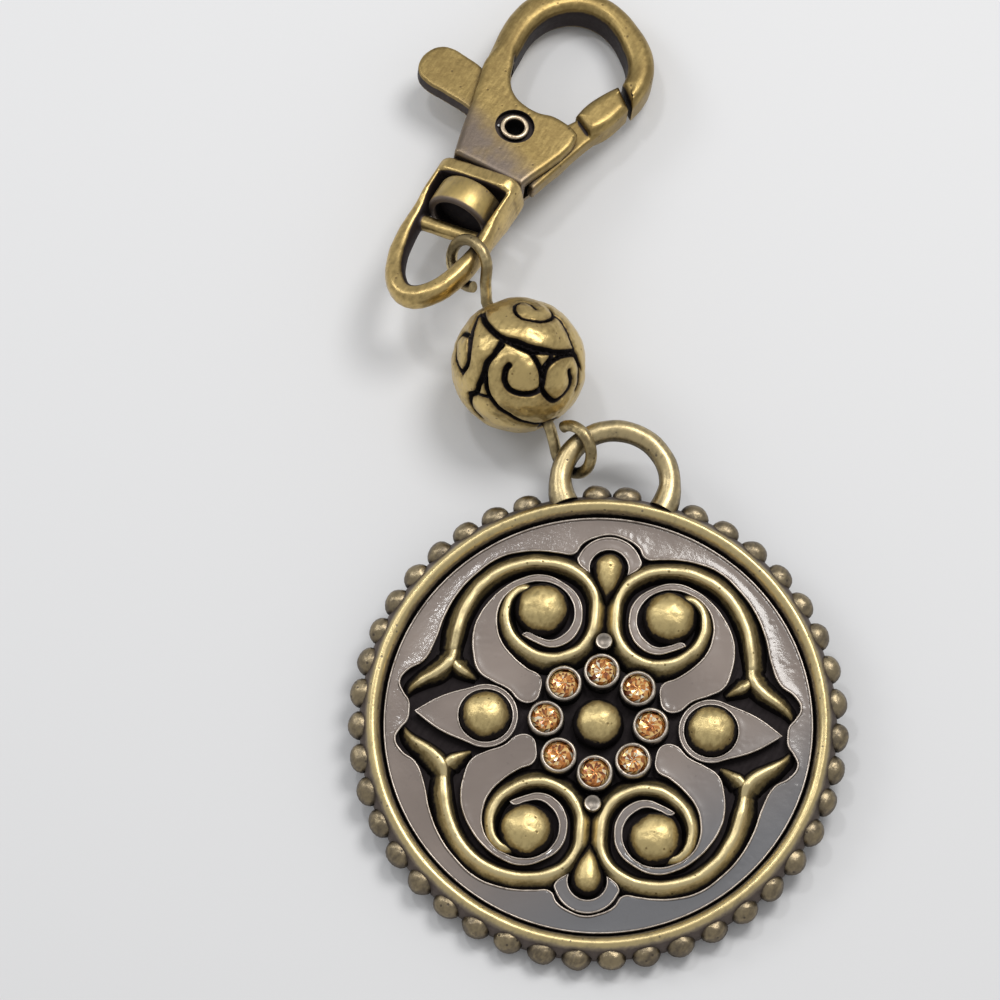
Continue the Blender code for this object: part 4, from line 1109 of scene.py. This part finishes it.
bpy.ops.object.select_all(action="DESELECT")
bpy.ops.mesh.primitive_ico_sphere_add(subdivisions=7, radius=1)
bead = bpy.context.object
bead.name = "carved_bead"
half_turn = Matrix.Rotation(pi, 3, pin_along)
groove_points = []
for half_w, line in GROOVES:
    for direction in spread(line):
        groove_points.append((direction, half_w))
        groove_points.append((half_turn @ direction, half_w))
groove_tree = KDTree(len(groove_points))
for number, (direction, _) in enumerate(groove_points):
    groove_tree.insert(direction, number)
groove_tree.balance()
carved = bead.data.attributes.new("carved", "FLOAT", "POINT")
for vertex in bead.data.vertices:
    direction = vertex.co.normalized()
    deep = 0.0
    for _, number, gap in groove_tree.find_range(direction, GROOVE_REACH_SHARE):
        half_w = groove_points[number][1]
        share = max(0.0, 1 - gap / (half_w / BEAD_R * GROOVE_SPREAD_SHARE))
        deep = max(deep, share * share * (3 - 2 * share) * min(1, half_w / FULL_GROOVE_W))
    puff = min(1.0, groove_tree.find(direction)[2] * BEAD_R / PAD_EDGE) ** 0.6
    mouth = (direction - direction.dot(pin_along) * pin_along).length
    deep = max(deep, MOUTH_DEPTH_SHARE * max(0.0, 1 - mouth / MOUTH_R_SHARE))
    lump = LUMP_RISE * noise.noise(direction * LUMP_TURNS)
    lump += DIMPLE_RISE * noise.noise(direction * DIMPLE_TURNS)
    vertex.co = direction * (BEAD_R + PAD_FOOT + PAD_RISE * puff + lump - GROOVE_DEPTH * deep)
    carved.data[vertex.index].value = 0.62 * puff + 0.30 - 1.3 * deep


def by_mark(name, low, high, foot, top):
    """A wear mask that rises with a value stored on the piece's points."""
    def mask(tree):
        value = node_in(tree, "ShaderNodeAttribute", attribute_name=name).outputs["Fac"]
        return ramp(tree, value, low, high, foot, top)
    return mask


bead_brass = brass_material(
    "bead_brass", by_mark("carved", -0.35, 0.95, -0.5, 1.0), crest=(0.62, 0.47, 0.205, 1),
    field=(0.30, 0.215, 0.09, 1), relief=0.10, reach=0.6,
)
bead_place = Matrix.Translation(bead_centre) @ Matrix.Scale(MM, 4)
seated(bead, bead_place, "bead", "bead_brass", bead_brass, "scroll_bead")

# The swivel is one thick casting: a band with a hole for the snap's stem, two broad arms, a cross-bar and
# a round bow. It was tumbled, so every edge is soft and bright.
SWIVEL_ROLL = radians(15)
SWIVEL_W = 9.5
BAND_TOP = -6.15
BAND_T = 1.85
BAND_DEPTH = 5.2
BAND_CORNER = 1.7
BAND_EDGE = 0.5
STEM_HOLE_R = 1.7
STEM_HOLE_HALF = 1.2
ARM_X = 4.05
ARM_TOP = -6.65
BAR_Y = -13.35
BAR_R = 0.8
BOW_Y = -13.9
BOW_REACH = 8.4
BOW_STEPS = 20
BOW_FOOT = (0.82, 1.36)
BOW_GAIN = (0.28, -0.14)
SWIVEL_GRAIN = 0.16
STAND_OUT = 0.06
WEAR_SPREAD = 3
# Each station of an arm is its share of the arm's length, its half width, its half depth and its shift out
ARM_STATIONS = (
    (0.0, 0.46, 2.10, 0.16), (0.20, 0.48, 2.08, 0.16), (0.45, 0.54, 2.00, 0.12), (0.62, 0.62, 1.82, 0.06),
    (0.74, 0.76, 1.60, 0), (0.88, 0.82, 1.42, 0),
)
rivet_at = Vector(joints["gate_pivot"]["pos_m"])
clasp_along = Vector(joints["swivel_turn"]["axis"]).normalized()
clasp_up = Vector(joints["gate_pivot"]["axis"]).normalized()
clasp_across = clasp_along.cross(clasp_up).normalized()
clasp_place = frame_of(rivet_at, clasp_across, clasp_along, clasp_up)
swivel_place = clasp_place @ Matrix.Rotation(-SWIVEL_ROLL, 4, "Y")


def lofted(name, sections, sides=24, roundness=1.0):
    """A bar through sections, each a centre, an across vector and an up vector, closed at both ends. A
    roundness of one gives ovals, and less gives soft-cornered rectangles."""
    def eased(value):
        return abs(value) ** roundness * (1 if value > 0 else -1)

    points = []
    faces = []
    for centre, across, up in sections:
        for step in range(sides):
            angle = 2 * pi * step / sides
            outward = eased(cos(angle)) * Vector(across) + eased(sin(angle)) * Vector(up)
            points.append(Vector(centre) + outward)
    for row in range(len(sections) - 1):
        for step in range(sides):
            near = row * sides + step
            far = row * sides + (step + 1) % sides
            faces.append((near, far, far + sides, near + sides))
    faces.append(tuple(reversed(range(sides))))
    faces.append(tuple(range((len(sections) - 1) * sides, len(sections) * sides)))
    return made_solid(mesh_piece(name, points, faces=faces))


def laid_along(piece):
    """Turns a piece that was made round its upright, so that it lies along the snap."""
    piece.data.transform(Matrix.Rotation(-pi / 2, 4, "X"))
    return piece


def band_plate():
    """The band: a flat bar with rounded corners and edges, lying across the arms' tops."""
    bpy.ops.object.select_all(action="DESELECT")
    bpy.ops.mesh.primitive_cube_add(size=1)
    piece = bpy.context.object
    piece.data.transform(Matrix.Diagonal((SWIVEL_W, BAND_T, BAND_DEPTH, 1)))
    bpy.ops.object.mode_set(mode="EDIT")
    shape = bmesh.from_edit_mesh(piece.data)
    for edge in shape.edges:
        ends = [vert.co for vert in edge.verts]
        edge.select_set(abs(ends[0].y - ends[1].y) > BAND_T / 2)
    bmesh.update_edit_mesh(piece.data)
    bpy.ops.mesh.bevel(offset=BAND_CORNER, segments=6)
    bpy.ops.object.mode_set(mode="OBJECT")
    piece.data.transform(Matrix.Translation((0, BAND_TOP - BAND_T / 2, 0)))
    return with_modifier(piece, "BEVEL", width=BAND_EDGE, segments=4, limit_method="ANGLE")


def cast_as_one(piece, voxel, soften=4):
    """Fuses overlapping solids into one skin with soft joins, as in a mould."""
    with_modifier(piece, "REMESH", mode="VOXEL", voxel_size=voxel)
    with_modifier(piece, "SMOOTH", factor=0.5, iterations=soften)
    return piece


def cut_by(piece, cutter):
    """Cuts a piece by a cutter, and takes the cutter away."""
    with_modifier(piece, "BOOLEAN", operation="DIFFERENCE", object=cutter, solver="EXACT")
    bpy.data.objects.remove(cutter)
    return piece


def mark_wear_and_shade(piece, shade=None):
    """Stores how far each point stands out from its neighbours: over a half on an edge, under it in a corner.
    shade gives the share that is left at a place with its normal; it paints shade on the swivel's inner walls and
    the thumb tab's walls, and darkens the walls of the hook's opening."""
    mesh = piece.data
    count = len(mesh.vertices)
    points = np.empty(3 * count)
    mesh.vertices.foreach_get("co", points)
    points = points.reshape(count, 3)
    normals = np.empty(3 * count)
    mesh.vertex_normals.foreach_get("vector", normals)
    normals = normals.reshape(count, 3)
    ends = np.empty(2 * len(mesh.edges), int)
    mesh.edges.foreach_get("vertices", ends)
    ends = ends.reshape(-1, 2)
    links = np.bincount(ends.ravel(), minlength=count)[:, None]

    def neighbours(values):
        total = np.zeros_like(values)
        np.add.at(total, ends[:, 0], values[ends[:, 1]])
        np.add.at(total, ends[:, 1], values[ends[:, 0]])
        return total / np.maximum(links, 1)

    middle = points.copy()
    for _ in range(WEAR_SPREAD):
        middle = neighbours(middle)
    stand_and_shade = 0.5 + ((points - middle) * normals).sum(1) / STAND_OUT
    stand_and_shade = stand_and_shade.clip(0, 1)
    if shade:
        stand_and_shade *= [shade(point, normal) for point, normal in zip(points, normals)]
    stand_and_shade = stand_and_shade[:, None]
    for _ in range(WEAR_SPREAD + 2):
        stand_and_shade = 0.5 * stand_and_shade + 0.5 * neighbours(stand_and_shade)
    mark = mesh.attributes.new("standing_and_shade", "FLOAT", "POINT")
    mark.data.foreach_set("value", stand_and_shade.ravel())
    return piece


def arm_sections(side):
    """The sections of one arm, from the band down to the bow."""
    found = []
    for share, half_w, half_d, shift in ARM_STATIONS:
        y = ARM_TOP + share * (BOW_Y - ARM_TOP)
        found.append(((side * (ARM_X + shift), y, 0), (side * half_w, 0, 0), (0, 0, half_d)))
    return found


def bow_sections():
    """The sections of the bow, from the right arm's foot round to the left arm's foot."""
    found = []
    for step in range(BOW_STEPS + 1):
        angle = pi * step / BOW_STEPS
        centre = (ARM_X * cos(angle), BOW_Y - BOW_REACH * sin(angle), 0)
        out = Vector((BOW_REACH * cos(angle), -ARM_X * sin(angle), 0)).normalized()
        round_share = sin(angle) ** 0.7
        half_w, half_d = (foot + gain * round_share for foot, gain in zip(BOW_FOOT, BOW_GAIN))
        found.append((centre, half_w * out, (0, 0, half_d)))
    return found


loop_sections = arm_sections(1) + bow_sections() + list(reversed(arm_sections(-1)))
bar_sections = [((x, BAR_Y, 0), (0, BAR_R, 0), (0, 0, BAR_R)) for x in (-ARM_X, -2, 0, 2, ARM_X)]
swivel = joined("swivel", [
    lofted("arms_and_bow", loop_sections, roundness=0.86), band_plate(), lofted("bar", bar_sections),
])
cast_as_one(swivel, SWIVEL_GRAIN)
stem_hole = laid_along(spun("stem_hole", (
    (0, STEM_HOLE_HALF), (STEM_HOLE_R, STEM_HOLE_HALF), (STEM_HOLE_R, -STEM_HOLE_HALF), (0, -STEM_HOLE_HALF),
), 40))
stem_hole.data.transform(Matrix.Translation((0, BAND_TOP - BAND_T / 2, 0)))
cut_by(swivel, stem_hole)
uneven(swivel, 1.8, 0.06)


def swivel_shade(point, normal):
    """Painted shade: darker on the walls that face the inside of the loop."""
    inward = Vector((-point[0], BOW_Y + 1.5 - point[1], 0)).normalized().dot(normal)
    return 1 - 0.85 * min(1.0, max(0.0, (inward - 0.35) / 0.3))


mark_wear_and_shade(swivel, swivel_shade)
swivel_brass = brass_material(
    "swivel_brass", by_mark("standing_and_shade", 0.05, 0.56, -0.30, 0.84), crest=(0.64, 0.475, 0.20, 1),
    field=(0.28, 0.20, 0.085, 1), hollow=(0.060, 0.048, 0.050, 1), polish=0.04, reach=1.2, mottle=0.8,
)
seated(swivel, swivel_place, "swivel", "clasp_brass", swivel_brass, "swivel_loop")

# A turned brass drum is pressed on the end of the snap's stem, inside the swivel, and holds the swivel on.
# Its lower end is sunk behind a dull lip.
CAP_TOP = -8.6
CAP_FOOT = -11.9
CAP_R = 3.5
CAP_BELLY = 0.03
CAP_EDGE = 0.35
CAP_BREAK = 0.1
CAP_WALL = 0.75
CAP_SUNK = 1.2
CAP_PROFILE = (
    (0, CAP_TOP), (CAP_R - CAP_EDGE, CAP_TOP), (CAP_R - CAP_BREAK, CAP_TOP - CAP_BREAK),
    (CAP_R, CAP_TOP - CAP_EDGE), (CAP_R + CAP_BELLY, (CAP_TOP + CAP_FOOT) / 2), (CAP_R, CAP_FOOT + CAP_EDGE),
    (CAP_R - CAP_BREAK, CAP_FOOT + CAP_BREAK), (CAP_R - CAP_EDGE, CAP_FOOT),
    (CAP_R - CAP_WALL, CAP_FOOT + 0.08), (CAP_R - CAP_WALL - CAP_BREAK, CAP_FOOT + CAP_SUNK),
    (0, CAP_FOOT + CAP_SUNK),
)


def cap_wear_and_shade(tree):
    """Rubbed round the side, dull on the lip, and dark down the sunk cup as painted shade."""
    along = own_axis(tree, clasp_place, "Y")
    lip = ramp(tree, along, CAP_FOOT + 0.1, CAP_FOOT + 0.4, -0.55, 0.0)
    out = own_radius(tree, clasp_place, kept=(1, 0, 1))
    # Painted shade: the sunk cup inside the lip is darkened.
    cup = ramp(tree, out, CAP_R - CAP_WALL - 0.05, CAP_R - CAP_WALL + 0.1, -0.9, 0.0)
    return added(tree, rubbed(0.78, 1.0)(tree), lip, cup)


def cap_bloom(tree):
    """Mauve on the lip."""
    return ramp(tree, own_axis(tree, clasp_place, "Y"), CAP_FOOT + 0.1, CAP_FOOT + 0.5, 0.9, 0.0)


cap = laid_along(spun("cap", CAP_PROFILE, 72))
cap_brass = brass_material(
    "cap_brass", cap_wear_and_shade, crest=(0.53, 0.395, 0.155, 1), field=(0.27, 0.20, 0.11, 1), polish=-0.08,
    reach=0.8, mottle=0.6, bloom=cap_bloom,
)
seated(cap, clasp_place, "clasp", "clasp_brass", cap_brass, "swivel_cap")

# The snap's body and hook are one casting, slotted through its thickness for the lever. Its faces are
# brushed and its edges are rounded until the hook is nearly round.
SNAP_UNIT = 10.0
BODY_T = 4.4
HOOK_EDGE = 1.2
FACE_EDGE = 0.5
BODY_GRAIN = 0.14
BODY_OUTER_SHARES = (
    (0.400, -0.590), (-0.385, -0.590), (-0.460, -0.300), (-0.520, -0.020), (-0.610, 0.350), (-0.660, 0.590),
    (-0.690, 0.810), (-0.720, 1.050), (-0.715, 1.290), (-0.655, 1.530), (-0.500, 1.740), (-0.270, 1.885),
    (0.050, 1.945), (0.265, 1.910), (0.485, 1.810), (0.710, 1.660), (0.845, 1.500), (0.930, 1.290),
    (0.945, 1.090), (0.911, 0.888),
)
BODY_INNER_SHARES = (
    (0.686, 1.085), (0.660, 1.240), (0.590, 1.370), (0.480, 1.480), (0.280, 1.625), (0.060, 1.685),
    (-0.140, 1.640), (-0.295, 1.510), (-0.385, 1.340), (-0.420, 1.160), (-0.410, 0.910), (-0.390, 0.690),
    (-0.310, 0.490), (-0.190, 0.360), (-0.050, 0.305), (0.120, 0.295), (0.270, 0.335), (0.400, 0.330),
    (0.520, 0.305), (0.605, 0.240),
)
BODY_CORNERS = (0, 1, 19, 20, 39)
FACE_OUTER = 6
FACE_INNER = 11
FACE_TIP_SHARES = (-0.56, 1.15)
SLOT_W = 2.4
SLOT_SHARES = (
    (-0.90, 0.68), (-0.90, -0.50), (-0.33, -0.33), (0.22, -0.33), (0.32, -0.52), (0.90, -0.62),
    (0.90, 0.60), (0.20, 0.60), (-0.15, 0.50), (-0.30, 0.76), (-0.60, 0.70),
)
STEM_R = 1.5
STEM_TOP = -4.9
STEM_FOOT = CAP_TOP - 0.3
SEAT_R = 2.0
SEAT_Z = 1.6
BORE_R = 1.4
CUT_Z = 3.2
OPENING = (1.2, 10.0)
OPENING_FOOT = 2.4
BLOOM_FROM = -0.6
BLOOM_TO = -4.2


def shaped_plate(name, shares, corners, thickness, edge, steps=4):
    """A plate from an outline that is smooth but for its named corners, with its edges rounded over."""
    curve = bpy.data.curves.new(name, "CURVE")
    curve.dimensions = "2D"
    curve.fill_mode = "BOTH"
    curve.extrude = thickness / 2 - edge
    curve.bevel_depth = edge
    curve.bevel_resolution = steps
    curve.offset = -edge
    curve.resolution_u = 5
    spline = curve.splines.new("BEZIER")
    spline.bezier_points.add(len(shares) - 1)
    for number, (knot, (x, y)) in enumerate(zip(spline.bezier_points, shares)):
        knot.co = (SNAP_UNIT * x, SNAP_UNIT * y, 0)
        kind = "VECTOR" if corners == "all" or number in corners else "AUTO"
        knot.handle_left_type = kind
        knot.handle_right_type = kind
    spline.use_cyclic_u = True
    return from_curve(name, curve)


hook = shaped_plate("hook", BODY_OUTER_SHARES + BODY_INNER_SHARES, BODY_CORNERS, BODY_T, HOOK_EDGE)
face_shares = BODY_OUTER_SHARES[:FACE_OUTER] + (FACE_TIP_SHARES,) + BODY_INNER_SHARES[FACE_INNER:]
face = shaped_plate("face", face_shares, (0, 1, FACE_OUTER), BODY_T, FACE_EDGE)
stem = laid_along(spun("stem", ((0, STEM_TOP), (STEM_R, STEM_TOP), (STEM_R, STEM_FOOT), (0, STEM_FOOT)), 40))
body = joined("snap", [hook, face, stem])
cast_as_one(body, BODY_GRAIN, 3)
cut_by(body, shaped_plate("slot", SLOT_SHARES, "all", SLOT_W, 0))
cut_by(body, spun("rivet_seat", (
    (0, CUT_Z), (SEAT_R, CUT_Z), (SEAT_R, SEAT_Z), (BORE_R, SEAT_Z), (BORE_R, -SEAT_Z), (SEAT_R, -SEAT_Z),
    (SEAT_R, -CUT_Z), (0, -CUT_Z),
), 48))


def body_shade(point, normal):
    """Dull on the walls of the hook's opening."""
    inward = normal[0] * (OPENING[0] - point[0]) + normal[1] * (OPENING[1] - point[1])
    if inward < 0 or point[1] < OPENING_FOOT:
        return 1.0
    return 1 - 0.75 * max(0.0, 1 - abs(normal[2]) / 0.75)


def clasp_wear_and_shade(tree):
    """Rubbed where it stands out, darker on the walls that the mark shades, and black in the round seat of the
    rivet as painted shade.
    """
    painted_seat_shade = ramp(tree, own_radius(tree, clasp_place), SEAT_R - 0.02, SEAT_R + 0.07, -1.6, 0.0)
    return added(tree, by_mark("standing_and_shade", 0.05, 0.52, -0.35, 0.66)(tree), painted_seat_shade)


def clasp_bloom(tree):
    """Mauve on the lower left of the snap's body."""
    place = own_place(tree, clasp_place)
    spot = node_in(tree, "ShaderNodeSeparateXYZ", {0: place}).outputs
    left = times(tree, reckoned(tree, "MAXIMUM", spot["X"], -5.0), 0.45)
    low = ramp(tree, added(tree, spot["Y"], left), BLOOM_TO, BLOOM_FROM, 0.92, 0.0)
    return times(tree, low, ramp(tree, grain(tree, place, 0.45, 2.0), 0.25, 0.6, 0.5, 1.0))


clasp_brass = brass_material(
    "clasp_brass", clasp_wear_and_shade, crest=(0.60, 0.445, 0.178, 1), field=(0.265, 0.188, 0.074, 1),
    hollow=(0.042, 0.034, 0.034, 1), polish=0.03, reach=1.0, mottle=0.62, bloom=clasp_bloom,
)
mark_wear_and_shade(body, body_shade)
seated(body, clasp_place, "clasp", "clasp_brass", clasp_brass, "clasp_body")

# The gate, its hub, the thumb tab and the lower strip are one cast brass lever in the body's slot. The
# gate is as thick as the hook that it closes, and the tab is pressed with the thumb to open it.
LEVER_SHARES = (
    (0.660, 1.055), (0.885, 0.858), (0.800, 0.560), (0.715, 0.320), (0.660, 0.120), (0.500, -0.500),
    (0.425, -0.480), (0.400, -0.180), (0.230, -0.150), (0.130, -0.230), (-0.020, -0.262), (-0.160, -0.215),
    (-0.260, -0.085), (-0.550, 0.030), (-0.830, 0.065), (-1.120, 0.100), (-1.215, 0.170),
    (-1.262, 0.290), (-1.240, 0.440), (-1.160, 0.550), (-1.060, 0.590), (-0.880, 0.580), (-0.640, 0.530),
    (-0.360, 0.330), (-0.200, 0.205), (-0.020, 0.245), (0.280, 0.260), (0.440, 0.420),
)
GATE_SHARES = (
    (0.455, 0.500), (0.480, 0.660), (0.560, 0.870), (0.660, 1.055), (0.885, 0.858), (0.810, 0.560),
    (0.695, 0.365),
)
LEVER_T = 1.9
LEVER_EDGE = 0.3
GATE_T = 3.7
GATE_EDGE = 0.9
LEVER_GRAIN = 0.12
LEVER_CUT_Z = 3.0
TAB_X = -4.0
lever = joined("lever", [
    shaped_plate("tongue", LEVER_SHARES, (0, 1, 5, 6, 7), LEVER_T, LEVER_EDGE),
    shaped_plate("gate", GATE_SHARES, (0, 3, 4, 6), GATE_T, GATE_EDGE),
])
cast_as_one(lever, LEVER_GRAIN, 2)
cut_by(lever, spun("lever_bore", (
    (0, LEVER_CUT_Z), (BORE_R, LEVER_CUT_Z), (BORE_R, -LEVER_CUT_Z), (0, -LEVER_CUT_Z),
), 40))


def tab_shade(point, normal):
    """Painted shade: darker on the walls of the thumb tab."""
    return 1 - 0.8 * max(0.0, 1 - abs(normal[2]) / 0.6) if point[0] < TAB_X else 1.0


mark_wear_and_shade(lever, tab_shade)
seated(lever, clasp_place, "gate", "clasp_brass", clasp_brass, "gate_lever")

# The lever turns on a hollow brass rivet through the body. Each end is rolled over into a bright rim that
# lies in its round seat, and the bore is painted dark as shade.
RIVET_PROFILE = (
    (1.00, 2.05), (1.08, 2.18), (1.24, 2.22), (1.42, 2.16), (1.52, 1.98), (1.48, 1.75), (1.2, 1.7),
    (1.2, -1.7), (1.48, -1.75), (1.52, -1.98), (1.42, -2.16), (1.24, -2.22), (1.08, -2.18), (1.00, -2.05),
)


def rivet_shade_and_wear(tree):
    """Painted shade down the bore, black, and bright on the rolled rim."""
    return ramp(tree, own_axis(tree, clasp_place, "Z"), 1.75, 2.05, -0.8, 0.95)


rivet = spun("rivet", RIVET_PROFILE, 56, closed=True)
rivet_brass = brass_material(
    "rivet_brass", rivet_shade_and_wear, crest=(0.74, 0.60, 0.43, 1), field=(0.30, 0.24, 0.17, 1), reach=0.5,
)
seated(rivet, clasp_place, "clasp", "rivet_brass", rivet_brass, "gate_rivet")

# The gate's spring is hidden in the lever's pocket round the rivet. It is wound from plain bright spring
# wire and presses the gate shut.
spring = frame["nodes"]["gate_spring"]
spring_steel = brass_material(
    "spring_steel", rubbed(0.55, 0.85), crest=(0.62, 0.62, 0.63, 1), field=(0.45, 0.45, 0.46, 1), reach=0.3,
)
spring.data.materials.clear()
spring.data.materials.append(spring_steel)
